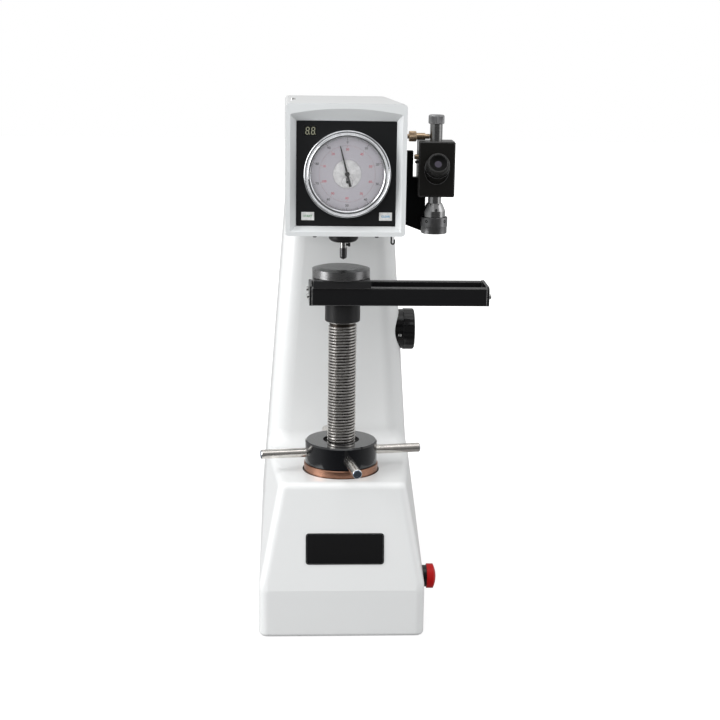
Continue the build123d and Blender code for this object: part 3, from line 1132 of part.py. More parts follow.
# ---------------------------------------------------------------- small fittings
def power_inlet():
    """Flanged mains inlet with an open socket, in the back wall of the base."""
    y = BASE_BACK_Y
    flange = block(INLET_X - INLET_W / 2, INLET_X + INLET_W / 2, y, y + INLET_FLANGE_T,
                   INLET_Z - INLET_H / 2, INLET_Z + INLET_H / 2)
    flange = fillet(flange.edges().filter_by(Axis.Y), 4)
    flange += block(INLET_X - INLET_BODY_W / 2, INLET_X + INLET_BODY_W / 2, y - INLET_DEPTH, y + 1,
                    INLET_Z - INLET_BODY_H / 2, INLET_Z + INLET_BODY_H / 2)
    return flange - block(INLET_X - INLET_SOCKET_W / 2, INLET_X + INLET_SOCKET_W / 2,
                          y + INLET_FLANGE_T - INLET_SOCKET_D, y + INLET_FLANGE_T + 1,
                          INLET_Z - INLET_SOCKET_H / 2, INLET_Z + INLET_SOCKET_H / 2)


def cable_hook():
    """Open wire hook under the right of the head."""
    bottom = HEAD_Z - HOOK_DROP
    shank = Line((0, HEAD_Z + WALL / 2), (0, bottom))
    bend = JernArc((0, bottom), (0, -1), HOOK_BEND_R, 180)
    tail = Line(bend @ 1, bend @ 1 + Vector(0, HOOK_TAIL))
    path = Plane.XZ * (shank + bend + tail)
    return Pos(HOOK_X, HOOK_Y, 0) * sweep(Plane.XY.offset(HEAD_Z + WALL / 2) * Circle(HOOK_WIRE_R),
                                        path=path)


NODES = {
    "frame_casting": frame_casting,
    "top_cover": top_cover,
    "rear_cover": rear_cover,
    "cover_screws": cover_screws,
    "front_frame": front_frame,
    "front_panel": front_panel,
    "display_module": display_module,
    "start_key": lambda: panel_key(START_X),
    "clear_key": lambda: panel_key(CLEAR_X),
    "dial_case": dial_case,
    "dial_bezel": dial_bezel,
    "dial_glass": dial_glass,
    "dial_face": dial_face,
    "main_pointer": main_pointer,
    "turn_pointer": turn_pointer,
    "spindle_housing": spindle_housing,
    "spindle": spindle,
    "indenter_holder": indenter_holder,
    "indenter_tip": indenter_tip,
    "indenter_screw": indenter_screw,
    "screw_guide": screw_guide,
    "thrust_ring": thrust_ring,
    "handwheel_hub": handwheel_hub,
    "handwheel_spokes": handwheel_spokes,
    "elevating_screw": elevating_screw,
    "screw_collar": screw_collar,
    "stage_rail_front": lambda: stage_rail(-1),
    "stage_rail_rear": lambda: stage_rail(1),
    "stage_end_left": lambda: stage_end(RAIL_X0 - END_T, RAIL_X0),
    "stage_end_right": lambda: stage_end(RAIL_X1, RAIL_X1 + END_T),
    "stage_screws": stage_screws,
    "slide_block": slide_block,
    "anvil": anvil,
    "microscope_bracket": microscope_bracket,
    "microscope_body": microscope_body,
    "lamp_tube": lamp_tube,
    "lamp_cap": lamp_cap,
    "eyepiece_tube": eyepiece_tube,
    "eyepiece_ring": eyepiece_ring,
    "eyepiece_lens": eyepiece_lens,
    "objective_barrel": objective_barrel,
    "objective_ring": objective_ring,
    "objective_lens": objective_lens,
    "clamp_screw": clamp_screw,
    "force_ring": force_ring,
    "force_knob": force_knob,
    "selector_shaft": selector_shaft,
    "stop_collar": stop_collar,
    "stop_plunger": stop_plunger,
    "stop_head": stop_head,
    "loading_lever": loading_lever,
    "lever_fulcrum": lever_fulcrum,
    "weight_hanger": weight_hanger,
    "weight_discs": weight_discs,
    "lift_cam": lift_cam,
    "load_motor": load_motor,
    "damper_cylinder": damper_cylinder,
    "damper_piston": damper_piston,
    "power_inlet": power_inlet,
    "cable_hook": cable_hook,
}

os.makedirs("parts", exist_ok=True)
for name, make in NODES.items():
    export_step(make(), f"parts/{name}.step")
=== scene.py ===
"""Looks of a bench hardness tester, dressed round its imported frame.

Sizes of shapes are in millimetres in the frame of the part: X to the operator's right, Y to the
back, Z up, with the origin under the axis of the elevating screw.  They become metres only when a
piece is put into its mesh.  The studio's places and a finish's own sizes are in metres.
"""
from __future__ import annotations

import logging
import math
from collections.abc import Callable
from dataclasses import dataclass
from enum import Enum
from functools import reduce

import bpy
import numpy as np
from mathutils import Matrix, Vector
from numpy.typing import NDArray

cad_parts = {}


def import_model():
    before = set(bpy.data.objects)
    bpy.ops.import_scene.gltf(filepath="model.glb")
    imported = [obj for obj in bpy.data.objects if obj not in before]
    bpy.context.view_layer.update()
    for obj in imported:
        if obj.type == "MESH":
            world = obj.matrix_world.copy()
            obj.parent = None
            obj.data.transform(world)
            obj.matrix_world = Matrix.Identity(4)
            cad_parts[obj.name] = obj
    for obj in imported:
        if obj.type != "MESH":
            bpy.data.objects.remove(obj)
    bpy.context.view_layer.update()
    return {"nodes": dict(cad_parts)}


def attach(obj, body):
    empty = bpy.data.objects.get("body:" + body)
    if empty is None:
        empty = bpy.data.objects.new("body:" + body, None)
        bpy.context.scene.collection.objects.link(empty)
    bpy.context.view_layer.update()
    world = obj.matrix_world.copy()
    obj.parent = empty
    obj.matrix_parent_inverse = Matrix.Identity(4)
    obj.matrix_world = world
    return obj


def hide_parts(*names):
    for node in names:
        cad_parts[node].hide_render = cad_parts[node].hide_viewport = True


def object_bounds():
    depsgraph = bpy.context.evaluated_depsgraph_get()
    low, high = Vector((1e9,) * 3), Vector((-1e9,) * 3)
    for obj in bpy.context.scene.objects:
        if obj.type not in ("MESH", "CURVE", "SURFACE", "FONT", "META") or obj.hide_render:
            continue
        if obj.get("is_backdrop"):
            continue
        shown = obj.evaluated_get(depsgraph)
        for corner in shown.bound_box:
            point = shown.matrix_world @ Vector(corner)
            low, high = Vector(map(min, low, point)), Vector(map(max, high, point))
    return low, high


LOG = logging.getLogger("hardness_tester")
Array = NDArray[np.float64]
Index = NDArray[np.int64]
Triple = tuple[float, float, float]
Profile = list[tuple[float, float]]
Dress = tuple[tuple[str, str], ...]
Socket = bpy.types.NodeSocket
MM = 0.001
SMOOTH_ANGLE = math.radians(32.0)
PRINT_DEPTH = 0.03
FIGURES = 10


class Direction(Enum):
    """Direction in which the axis of a turned piece points."""

    X = ((0.0, 1.0, 0.0), (0.0, 0.0, 1.0), (1.0, 0.0, 0.0))
    FRONT = ((1.0, 0.0, 0.0), (0.0, 0.0, 1.0), (0.0, -1.0, 0.0))
    REAR = ((-1.0, 0.0, 0.0), (0.0, 0.0, 1.0), (0.0, 1.0, 0.0))
    LEFT = ((0.0, -1.0, 0.0), (0.0, 0.0, 1.0), (-1.0, 0.0, 0.0))
    Z = ((1.0, 0.0, 0.0), (0.0, 1.0, 0.0), (0.0, 0.0, 1.0))
    DOWN = ((1.0, 0.0, 0.0), (0.0, -1.0, 0.0), (0.0, 0.0, -1.0))


# ------------------------------------------------------------------ surfaces
@dataclass(frozen=True)
class Shell:
    """Points in millimetres with the four-sided and three-sided faces between them."""

    points: Array
    quads: Index
    tris: Index

    def __add__(self, other: Shell) -> Shell:
        """Both shells side by side as one."""
        n = len(self.points)
        return Shell(np.vstack([self.points, other.points]), np.vstack([self.quads, other.quads + n]),
                     np.vstack([self.tris, other.tris + n]))

    def placed(self, origin: Triple | Array, axes: Array) -> Shell:
        """The shell with its own axes laid along the rows of axes and its zero at origin.

        Args:
            origin: Place of the shell's zero in the frame.
            axes: Three rows, the directions of the shell's X, Y and Z.

        Returns:
            The shell in the frame.
        """
        return Shell(self.points @ np.asarray(axes, float) + np.asarray(origin), self.quads, self.tris)

    def facing(self, origin: Triple, way: Direction) -> Shell:
        """The shell at origin with its Z axis along a named direction."""
        return self.placed(origin, np.array(way.value))


def join(shells: list[Shell]) -> Shell:
    """All shells of a list as one."""
    return reduce(Shell.__add__, shells)


def grid(points: Array, closed: bool = True, caps: bool = True) -> Shell:
    """Surface over a grid of points.

    Row i holds the points of one section and the sections follow each other along i.  A closed
    row joins its last point to its first.  Caps close the first and last section with a fan of
    triangles round the section's mean point.

    Args:
        points: Array of shape (sections, points in a section, 3).
        closed: Whether each section is a closed ring.
        caps: Whether the two end sections are closed.

    Returns:
        The surface.
    """
    rows, cols = points.shape[:2]
    number = np.arange(rows * cols).reshape(rows, cols)
    right = np.roll(number, -1, axis=1) if closed else number[:, 1:]
    left = number if closed else number[:, :-1]
    quads = np.stack([left[:-1], right[:-1], right[1:], left[1:]], axis=-1).reshape(-1, 4)
    flat = points.reshape(-1, 3)
    tris = np.zeros((0, 3), int)
    if caps:
        flat = np.vstack([flat, points[0].mean(axis=0), points[-1].mean(axis=0)])
        first = np.full(left.shape[1], rows * cols)
        tris = np.vstack([np.stack([right[0], left[0], first], axis=-1),
                          np.stack([left[-1], right[-1], first + 1], axis=-1)])
    return Shell(flat, quads, tris)


def angles(count: int) -> Array:
    """Evenly spaced angles of one full turn."""
    return np.arange(count) * 2.0 * np.pi / count


def circle(count: int) -> Array:
    """Evenly spaced points (sin a, cos a) of the unit circle, clockwise from the top."""
    return np.stack([np.sin(angles(count)), np.cos(angles(count))], axis=1)


def turned(profile: Profile, count: int = 96, ripple: Array | float = 0.0, ring: bool = False) -> Shell:
    """Surface of revolution about Z.

    A point of the profile at radius r and height z runs round the circle (r cos a, r sin a, z).

    Args:
        profile: Points (radius, height) from the axis's lower end to its upper one, or round the
            section of a ring, the first one not repeated.
        count: Number of steps round the axis.
        ripple: Value added to the radius for each profile point and angle.
        ring: Whether the profile is a closed loop and the shape is open in the middle.

    Returns:
        The turned surface.
    """
    outline = np.array(profile + profile[:1] if ring else profile)
    turn = angles(count)[None, :]
    radius = outline[:, :1] + ripple
    points = np.stack([radius * np.cos(turn), radius * np.sin(turn), outline[:, 1:] + 0.0 * turn], axis=-1)
    return grid(points, caps=not ring)


def fluted(profile: Profile, cut: list[float], flutes: int, depth: float, steps: int = 6,
           ring: bool = False) -> Shell:
    """Turned shape whose radius drops between its ribs by depth * cut * (1 - cos) / 2.

    Args:
        profile: Points (radius, height) as a turned shape takes them.
        cut: Share of the flute's depth at each profile point.
        flutes: Number of flutes round the shape.
        depth: Depth of a flute.
        steps: Steps round each flute.
        ring: Whether the profile is a closed loop.

    Returns:
        The shape.
    """
    wave = (1 - np.cos(angles(flutes * steps) * flutes)) / 2
    share = np.array(cut + cut[:1] if ring else cut)[:, None]
    return turned(profile, flutes * steps, -depth * share * wave[None, :], ring)


def socket_head(radius: float, height: float, key: float, deep: float) -> Shell:
    """Screw head from Z 0 to height with a six-sided socket in its top.

    In the socket the radius is key / cos(a), where a is the angle to the nearest flat's middle.

    Args:
        radius: Radius of the head.
        height: Height of the head.
        key: Half the width across the socket's flats.
        deep: Depth of the socket.

    Returns:
        The head.
    """
    count = 72
    flat = key / np.cos((angles(count) + np.pi / 6) % (np.pi / 3) - np.pi / 6) - key
    profile = [(0.02, 0.0), (radius, 0.0), (radius, height * 0.62), (radius - height * 0.12, height * 0.88),
               (radius - height * 0.34, height), (key + 0.35, height), (key + 0.05, height - 0.25),
               (key, height - 0.4), (key, height - deep), (0.02, height - deep - 0.35)]
    share = np.array([0, 0, 0, 0, 0, 0.6, 1, 1, 1, 0])
    return turned(profile, count, share[:, None] * flat[None, :])


def rounded_outline(width: float, height: float, corner: float) -> Array:
    """Closed outline of a rectangle whose corners are quarter circles.

    Args:
        width: Full width.
        height: Full height.
        corner: Corner radius.

    Returns:
        Points (x, y), anticlockwise.
    """
    turn = np.linspace(0.0, np.pi / 2, 6)
    quarter = np.stack([np.cos(turn), np.sin(turn)], axis=-1) * corner
    spin = np.array([[0, 1], [-1, 0]])
    places = (np.array([width, height]) / 2 - corner) * np.array([[1, 1], [-1, 1], [-1, -1], [1, -1]])
    return np.vstack([quarter @ np.linalg.matrix_power(spin, i) + places[i] for i in range(4)])


def levelled(outline: Array, z: float) -> Array:
    """An outline's points (x, y, z) at one height."""
    return np.column_stack([outline, np.full(len(outline), z)])


def plate(width: float, height: float, depth: float, corner: float, edge: float) -> Shell:
    """Rounded rectangular plate from Z 0 to Z depth with softened edges on both faces.

    Each section is the outline drawn in by a little: the inset runs edge, 0, 0, edge while the
    height runs 0, edge, depth - edge, depth, and three steps of a quarter circle lie between.  A
    further section on each face keeps the rounding's shading off the middle of the face.

    Args:
        width: Size along X.
        height: Size along Y.
        depth: Size along Z.
        corner: Corner radius seen from the front.
        edge: Radius of the edge round each face.

    Returns:
        The closed plate.
    """
    quarter = np.linspace(0.0, np.pi / 2, 4)
    inset = edge * np.concatenate([[1.6], 1 - np.sin(quarter), 1 - np.cos(quarter), [1.6]])
    level = np.concatenate([[0.0], edge * (1 - np.cos(quarter)), depth - edge + edge * np.sin(quarter), [depth]])
    return grid(np.array([
        levelled(rounded_outline(width - 2 * step, height - 2 * step, max(corner - step, 0.02)), z)
        for step, z in zip(inset, level)]))


def lettering(words: str, height: float, depth: float = PRINT_DEPTH, weight: float = 0.0) -> Shell:
    """Raised characters lying in the XY plane, centred, from Z 0 to Z depth.

    Args:
        words: The characters.
        height: Height of a capital.
        depth: How far they stand up.
        weight: How much thicker every stroke grows on each side, as a share of the height.

    Returns:
        The characters as triangles.
    """
    curve = bpy.data.curves.new("lettering", "FONT")
    curve.body = words
    curve.align_x = curve.align_y = "CENTER"
    curve.size = height * 1.42
    curve.extrude = depth / 2
    curve.offset = weight * height
    curve.resolution_u = 3
    helper = bpy.data.objects.new("lettering", curve)
    mesh = bpy.data.meshes.new_from_object(helper)
    mesh.calc_loop_triangles()
    points = np.zeros(len(mesh.vertices) * 3)
    mesh.vertices.foreach_get("co", points)
    tris = np.zeros(len(mesh.loop_triangles) * 3, dtype=np.int32)
    mesh.loop_triangles.foreach_get("vertices", tris)
    bpy.data.objects.remove(helper)
    bpy.data.curves.remove(curve)
    bpy.data.meshes.remove(mesh)
    lifted = points.reshape(-1, 3) + np.array([0.0, 0.0, depth / 2])
    return Shell(lifted, np.zeros((0, 4), int), tris.reshape(-1, 3).astype(int))


def strokes(starts: Array, ends: Array, widths: Array | float, depth: float = PRINT_DEPTH) -> Shell:
    """Flat bars in the XY plane, each from its start to its end, from Z 0 to Z depth.

    The corners of a bar are its start and end moved half its width to either side of its line.

    Args:
        starts: Start points, shape (bars, 2).
        ends: End points, shape (bars, 2).
        widths: Width of each bar, or of all.
        depth: Thickness of all of them.

    Returns:
        The bars.
    """
    along = ends - starts
    along = along / np.linalg.norm(along, axis=1, keepdims=True)
    half = np.broadcast_to(widths, len(starts))[:, None] / 2
    across = np.stack([-along[:, 1], along[:, 0]], axis=1) * half
    flat = np.stack([starts - across, ends - across, ends + across, starts + across], axis=1)
    low = np.concatenate([flat, np.zeros(flat.shape[:2] + (1,))], axis=2)
    points = np.concatenate([low, low + np.array([0.0, 0.0, depth])], axis=1).reshape(-1, 3)
    sides = np.array([[3, 2, 1, 0], [4, 5, 6, 7], [0, 1, 5, 4], [1, 2, 6, 5], [2, 3, 7, 6], [3, 0, 4, 7]])
    quads = (sides[None] + 8 * np.arange(len(starts))[:, None, None]).reshape(-1, 4)
    return Shell(points, quads, np.zeros((0, 3), int))


def ring_marks(count: int, inner: Array | float, outer: float, widths: Array | float) -> Shell:
    """Evenly spaced printed marks, each from its inner radius straight out to the outer one."""
    way = circle(count)
    return strokes(way * np.broadcast_to(inner, count)[:, None], way * outer, widths)


def hoop(radius: float, count: int, width: float) -> Shell:
    """Printed circle of short straight bars."""
    rim = circle(count) * radius
    return strokes(rim, np.roll(rim, -1, axis=0), width)


def make_piece(name: str, shell: Shell, material: bpy.types.Material, body: str, slot: str,
               replaces: tuple[str, ...], smooth: float) -> None:
    """Puts a shell into a mesh object that rides on a body of the frame.

    Args:
        name: Name of the piece.
        shell: Its surface in millimetres.
        material: Its finish.
        body: Body of the frame that it moves with.
        slot: Material slot of the record; not used.
        replaces: Nodes of the frame that it stands for.
        smooth: Faces that meet at less than this angle are shaded as one.
    """
    mesh = bpy.data.meshes.new(name)
    mesh.vertices.add(len(shell.points))
    mesh.vertices.foreach_set("co", (shell.points * MM).astype(np.float32).ravel())
    corners = np.concatenate([shell.quads.ravel(), shell.tris.ravel()]).astype(np.int32)
    sizes = np.concatenate([np.full(len(shell.quads), 4), np.full(len(shell.tris), 3)])
    mesh.loops.add(len(corners))
    mesh.loops.foreach_set("vertex_index", corners)
    mesh.polygons.add(len(sizes))
    mesh.polygons.foreach_set("loop_start", (np.cumsum(sizes) - sizes).astype(np.int32))
    mesh.update(calc_edges=True)
    mesh.validate()
    mesh.polygons.foreach_set("use_smooth", np.ones(len(mesh.polygons), dtype=bool))
    mesh.set_sharp_from_angle(angle=smooth)
    mesh.materials.append(material)
    piece = bpy.data.objects.new(name, mesh)
    bpy.context.scene.collection.objects.link(piece)
    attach(piece, body)
    if replaces:
        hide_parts(*replaces)
    LOG.info("%s rides on %s: %d faces", name, body, len(mesh.polygons))


# ------------------------------------------------------------------ shader helpers
class Wiring:
    """Adds nodes to one node tree and joins their sockets."""

    def __init__(self, tree: bpy.types.NodeTree) -> None:
        """Keeps the tree that the nodes go into."""
        self.tree = tree

    def feed(self, node: bpy.types.Node, inputs: dict[str | int, object]) -> None:
        """Links or sets a node's inputs; a colour of three numbers gets full cover."""
        for name, value in inputs.items():
            socket = node.inputs[name]
            if isinstance(value, Socket):
                self.tree.links.new(value, socket)
            elif socket.type == "RGBA" and len(value) == 3:
                socket.default_value = (*value, 1.0)
            else:
                socket.default_value = value

    def add(self, kind: str, inputs: dict[str | int, object] | None = None, **settings: object) -> bpy.types.Node:
        """Adds a node.

        Args:
            kind: Node type without its ShaderNode prefix, or NodeGroupInput or NodeGroupOutput.
            inputs: Value or source socket for each input, by name or number.
            **settings: Properties of the node.

        Returns:
            The node.
        """
        node = self.tree.nodes.new(kind if kind.startswith("NodeGroup") else "ShaderNode" + kind)
        for name, value in settings.items():
            setattr(node, name, value)
        self.feed(node, inputs or {})
        return node

    def math(self, operation: str, a: object, b: object = 0.0, clamp: bool = False) -> Socket:
        """Result of one sum on two numbers."""
        return self.add("Math", {0: a, 1: b}, operation=operation, use_clamp=clamp).outputs[0]

    def times(self, a: object, b: object, clamp: bool = False) -> Socket:
        """Product of two numbers."""
        return self.math("MULTIPLY", a, b, clamp)

    def blend(self, factor: object, a: object, b: object) -> Socket:
        """Colour between a and b."""
        return self.add("Mix", {0: factor, 6: a, 7: b}, data_type="RGBA").outputs[2]

    def spread(self, value: object, low: float, high: float, to_low: float = 0.0, to_high: float = 1.0) -> Socket:
        """A value's part between low and high laid over another range and held within it."""
        return self.add("MapRange", {0: value, 1: low, 2: high, 3: to_low, 4: to_high}).outputs[0]

    def noise(self, vector: object, scale: object, detail: float = 2.0, rough: float = 0.5) -> Socket:
        """Value of a noise at a place."""
        return self.add("TexNoise", {"Vector": vector, "Scale": scale, "Detail": detail,
                                     "Roughness": rough}).outputs["Fac"]

    def parts(self, vector: object) -> bpy.types.NodeOutputs:
        """The three coordinates of a vector."""
        return self.add("SeparateXYZ", {0: vector}).outputs

    def millimetres(self, centre: Triple = (0.0, 0.0, 0.0)) -> Socket:
        """Place on the piece in millimetres from a centre in metres."""
        place = self.add("TexCoord").outputs["Object"]
        return self.add("Mapping", {"Vector": place, "Location": tuple(-v for v in centre),
                                    "Scale": (1 / MM, 1 / MM, 1 / MM)}).outputs[0]


def edge_wear(w: Wiring, given: bpy.types.NodeOutputs) -> Socket:
    """One minus the cosine between the face's normal and its rounded normal, scaled and broken up."""
    rounded = w.add("Bevel", {"Radius": given["Width"]}, samples=6).outputs[0]
    flat = w.add("NewGeometry").outputs["Normal"]
    cosine = w.add("VectorMath", {0: rounded, 1: flat}, operation="DOT_PRODUCT").outputs["Value"]
    bend = w.times(w.math("SUBTRACT", 1.0, cosine), given["Strength"])
    broken = w.spread(w.noise(w.millimetres(), 0.3, 3.0, 0.65), 0.3, 0.62, 0.35, 1.0)
    return w.times(bend, broken, clamp=True)


def streaks(w: Wiring, given: bpy.types.NodeOutputs) -> Socket:
    """Fine noise plus a quarter of a coarse one, both on the vector that the finish has stretched."""
    fine = w.noise(given["Vector"], given["Fineness"], 3.0, 0.7)
    coarse = w.noise(given["Vector"], 0.16, 1.0)
    return w.math("ADD", w.times(fine, 0.75), w.times(coarse, 0.25))


def skin(w: Wiring, given: bpy.types.NodeOutputs) -> Socket:
    """Rounded cells of a smooth Voronoi pattern under a fine noise, as sprayed paint flows."""
    cells = w.add("TexVoronoi", {"Vector": given["Vector"], "Scale": given["Fineness"], "Smoothness": 1.0},
                  feature="SMOOTH_F1").outputs["Distance"]
    grain = w.noise(given["Vector"], given["Fineness"], 3.0)
    return w.math("ADD", w.times(cells, 0.6), w.times(grain, 0.4))


def dust(w: Wiring, given: bpy.types.NodeOutputs) -> Socket:
    """Upward part of the normal to the fourth power, times a cloudy noise and the amount."""
    rise = w.parts(w.add("NewGeometry").outputs["Normal"])["Z"]
    flat = w.math("POWER", w.math("MAXIMUM", rise, 0.0), 4.0)
    cloud = w.spread(w.noise(given["Vector"], 0.05, 3.0, 0.5), 0.15, 0.85)
    return w.times(w.times(flat, cloud), given["Amount"], clamp=True)


def smudges(w: Wiring, given: bpy.types.NodeOutputs) -> Socket:
    """Cloudy noise between a low and a high value."""
    cloud = w.spread(w.noise(given["Vector"], 0.012, 3.0, 0.5), 0.1, 0.9)
    gap = w.math("SUBTRACT", given["High"], given["Low"])
    return w.math("ADD", given["Low"], w.times(cloud, gap))


class Effect(Enum):
    """Patterns that several finishes share, each built once as a node group."""

    EDGE = ("edge wear", edge_wear, {"Width": 0.0006, "Strength": 3.0})
    STREAK = ("grain", streaks, {"Vector": None, "Fineness": 1.0})
    SKIN = ("skin", skin, {"Vector": None, "Fineness": 1.0})
    DUST = ("dust", dust, {"Vector": None, "Amount": 0.5})
    SMUDGE = ("smudge", smudges, {"Vector": None, "Low": 0.0, "High": 1.0})

    def tree(self) -> bpy.types.NodeTree:
        """The node group of this effect, built on first use."""
        name: str = self.value[0]
        build: Callable[[Wiring, bpy.types.NodeOutputs], Socket] = self.value[1]
        if name in bpy.data.node_groups:
            return bpy.data.node_groups[name]
        tree = bpy.data.node_groups.new(name, "ShaderNodeTree")
        for label, value in self.value[2].items():
            kind = "NodeSocketVector" if value is None else "NodeSocketFloat"
            socket = tree.interface.new_socket(label, in_out="INPUT", socket_type=kind)
            if value is not None:
                socket.default_value = value
        tree.interface.new_socket("Value", in_out="OUTPUT", socket_type="NodeSocketFloat")
        wiring = Wiring(tree)
        given = wiring.add("NodeGroupInput").outputs
        wiring.add("NodeGroupOutput", {0: build(wiring, given)})
        return tree

    def use(self, wiring: Wiring, **inputs: object) -> Socket:
        """Puts the effect into a material and gives its output."""
        return wiring.add("Group", inputs, node_tree=self.tree()).outputs[0]


class Lay(Enum):
    """How the fine lines of a machined surface run.

    The value is the axis that they follow or go round, and for lines that go round, the weights
    of the radius and of the angle in their pattern.
    """

    ALONG_X = ("X", None)
    AROUND_X = ("X", (1.0, 0.4))
    AROUND_Y = ("Y", (1.0, 0.4))
    AROUND_Z = ("Z", (1.0, 0.4))
    SPOKE = ("Z", (0.03, 60.0))

    def vector(self, w: Wiring, centre: Triple) -> Socket:
        """Place in millimetres drawn out along the lines of this lay.

        Args:
            w: Tree of the material.
            centre: A point on the axis, in metres.

        Returns:
            Radius, height and angle of the place for lines that go round, or the place squeezed
            to a fiftieth along lines that run along X.
        """
        name, weights = self.value
        place = w.millimetres(centre)
        if weights is None:
            return w.add("VectorMath", {0: place, 1: (0.02, 1.0, 1.0)}, operation="MULTIPLY").outputs[0]
        parts = w.parts(place)
        a, b = (parts[other] for other in "XYZ" if other != name)
        radius = w.math("SQRT", w.math("ADD", w.times(a, a), w.times(b, b)))
        return w.add("CombineXYZ", {0: w.times(radius, weights[0]), 1: parts[name],
                                    2: w.times(w.math("ARCTAN2", a, b), weights[1])}).outputs[0]


# ------------------------------------------------------------------ finishes
class Recipe(Wiring):
    """Tree of one material with its Principled shader."""

    def __init__(self, name: str) -> None:
        """Starts an empty material and joins its shader to the output."""
        self.material = bpy.data.materials.new(name)
        self.material.use_nodes = True
        self.material.node_tree.nodes.clear()
        super().__init__(self.material.node_tree)
        self.shader = self.add("BsdfPrincipled")
        self.add("OutputMaterial", {"Surface": self.shader.outputs[0]})

    def done(self, inputs: dict[str | int, object], strength: float = 0.0, depth: float = 0.0,
             height: Socket | None = None) -> bpy.types.Material:
        """Feeds the shader.

        Args:
            inputs: Value or source socket for each of the shader's inputs.
            strength: Strength of its bump.
            depth: Depth of the bump in metres.
            height: The bump's pattern, or none for a plain surface.

        Returns:
            The material.
        """
        if height is not None:
            bump = self.add("Bump", {"Strength": strength, "Distance": depth, "Height": height})
            inputs["Normal"] = bump.outputs[0]
        self.feed(self.shader, inputs)
        return self.material


def grey(value: float) -> Triple:
    """Neutral colour of one brightness."""
    return (value, value, value)


def dimmed(colour: Triple, share: float) -> Triple:
    """The colour at a share of its brightness, at most white."""
    return tuple(min(1.0, c * share) for c in colour)


@dataclass(frozen=True)
class Paint:
    """Sprayed enamel: a faint orange peel, cloudy tone, and a thin grey line on sharp edges."""

    name: str
    colour: Triple
    shade: Triple
    edge: Triple
    peel: float = 0.00004
    fineness: float = 0.55

    def make(self) -> bpy.types.Material:
        """The finish as a material."""
        w = Recipe(self.name)
        place = w.millimetres()
        cloud = Effect.SMUDGE.use(w, Vector=place, Low=0.0, High=1.0)
        worn = Effect.EDGE.use(w, Width=0.0009, Strength=1.6)
        tone = w.blend(w.times(cloud, 0.5), self.colour, self.shade)
        settled = w.blend(Effect.DUST.use(w, Vector=place, Amount=0.1), tone, (0.66, 0.65, 0.63))
        return w.done({"Base Color": w.blend(w.times(worn, 0.35), settled, self.edge),
                       "Roughness": Effect.SMUDGE.use(w, Vector=place, Low=0.25, High=0.37),
                       "Coat Weight": 0.25, "Coat Roughness": 0.14},
                      0.5, self.peel, Effect.SKIN.use(w, Vector=place, Fineness=self.fineness))


@dataclass(frozen=True)
class Plastic:
    """Moulded, anodised or blackened surface with a fine texture, dust and rubbed edges."""

    name: str
    colour: Triple
    edge: Triple
    rough: float = 0.4
    texture: float = 0.00003
    fineness: float = 2.2
    wear: float = 0.5
    settled: float = 0.08
    coat: float = 0.0
    level: float = 0.3
    rub: float = 0.0005

    def make(self) -> bpy.types.Material:
        """The finish as a material."""
        w = Recipe(self.name)
        place = w.millimetres()
        fleck = w.spread(w.noise(place, self.fineness * 0.7, 3.0, 0.6), 0.3, 0.7)
        tone = w.blend(fleck, dimmed(self.colour, 0.72), self.colour)
        dusty = w.blend(Effect.DUST.use(w, Vector=place, Amount=self.settled), tone, (0.42, 0.42, 0.41))
        worn = w.times(Effect.EDGE.use(w, Width=self.rub, Strength=4.0), self.wear)
        rough = Effect.SMUDGE.use(w, Vector=place, Low=self.rough - 0.06, High=self.rough + 0.08)
        return w.done({"Base Color": w.blend(worn, dusty, self.edge), "Roughness": rough,
                       "Specular IOR Level": self.level, "Coat Weight": self.coat, "Coat Roughness": 0.06},
                      0.6, self.texture, Effect.SKIN.use(w, Vector=place, Fineness=self.fineness))


@dataclass(frozen=True)
class Metal:
    """Machined metal whose fine tool lines follow a lay, with a thin stain between them, and painted light in the
    colour deep across an optional fade.
    """

    name: str
    colour: Triple
    stain: Triple
    lay: Lay
    centre: Triple = (0.0, 0.0, 0.0)
    rough: float = 0.24
    fineness: float = 2.6
    stained: float = 0.5
    deep: Triple = (0.05, 0.05, 0.05)
    fade: tuple[float, float] | None = None

    def make(self) -> bpy.types.Material:
        """The finish as a material, turned to the colour deep, as painted light, where the lay's first coordinate
        runs across the fade.
        """
        w = Recipe(self.name)
        along = self.lay.vector(w, self.centre)
        lines = Effect.STREAK.use(w, Vector=along, Fineness=self.fineness)
        cloud = w.spread(w.noise(w.millimetres(), 0.12, 4.0, 0.6), 0.42, 0.72)
        dull = w.times(w.spread(lines, 0.35, 0.62, 1.0, 0.0), self.stained)
        tone = w.blend(dull, self.colour, self.stain)
        aged_and_painted_light = w.blend(w.times(cloud, 0.25), tone, dimmed(self.stain, 0.7))
        # Painted light: across the fade the colour turns to deep, as shade in the thread's roots and as a
        # reflection on the spokes' ends.
        if self.fade:
            aged_and_painted_light = w.blend(w.spread(w.parts(along)["X"], *self.fade), aged_and_painted_light, self.deep)
        bright = w.times(Effect.EDGE.use(w, Width=0.0004, Strength=3.0), 0.5)
        return w.done({"Base Color": w.blend(bright, aged_and_painted_light, dimmed(self.colour, 1.25)),
                       "Roughness": w.spread(lines, 0.3, 0.7, self.rough + 0.09, self.rough - 0.07),
                       "Metallic": 1.0}, 0.5, 0.00001, lines)


@dataclass(frozen=True)
class Ink:
    """Printed or engraved mark with a slightly uneven cover."""

    name: str
    colour: Triple

    def make(self) -> bpy.types.Material:
        """The finish as a material."""
        w = Recipe(self.name)
        place = w.millimetres()
        cover = w.spread(w.noise(place, 3.0, 3.0, 0.6), 0.35, 0.75)
        thin = tuple(c * 0.8 + 0.02 for c in self.colour)
        return w.done({"Base Color": w.blend(cover, self.colour, thin),
                       "Roughness": Effect.SMUDGE.use(w, Vector=place, Low=0.42, High=0.58)})


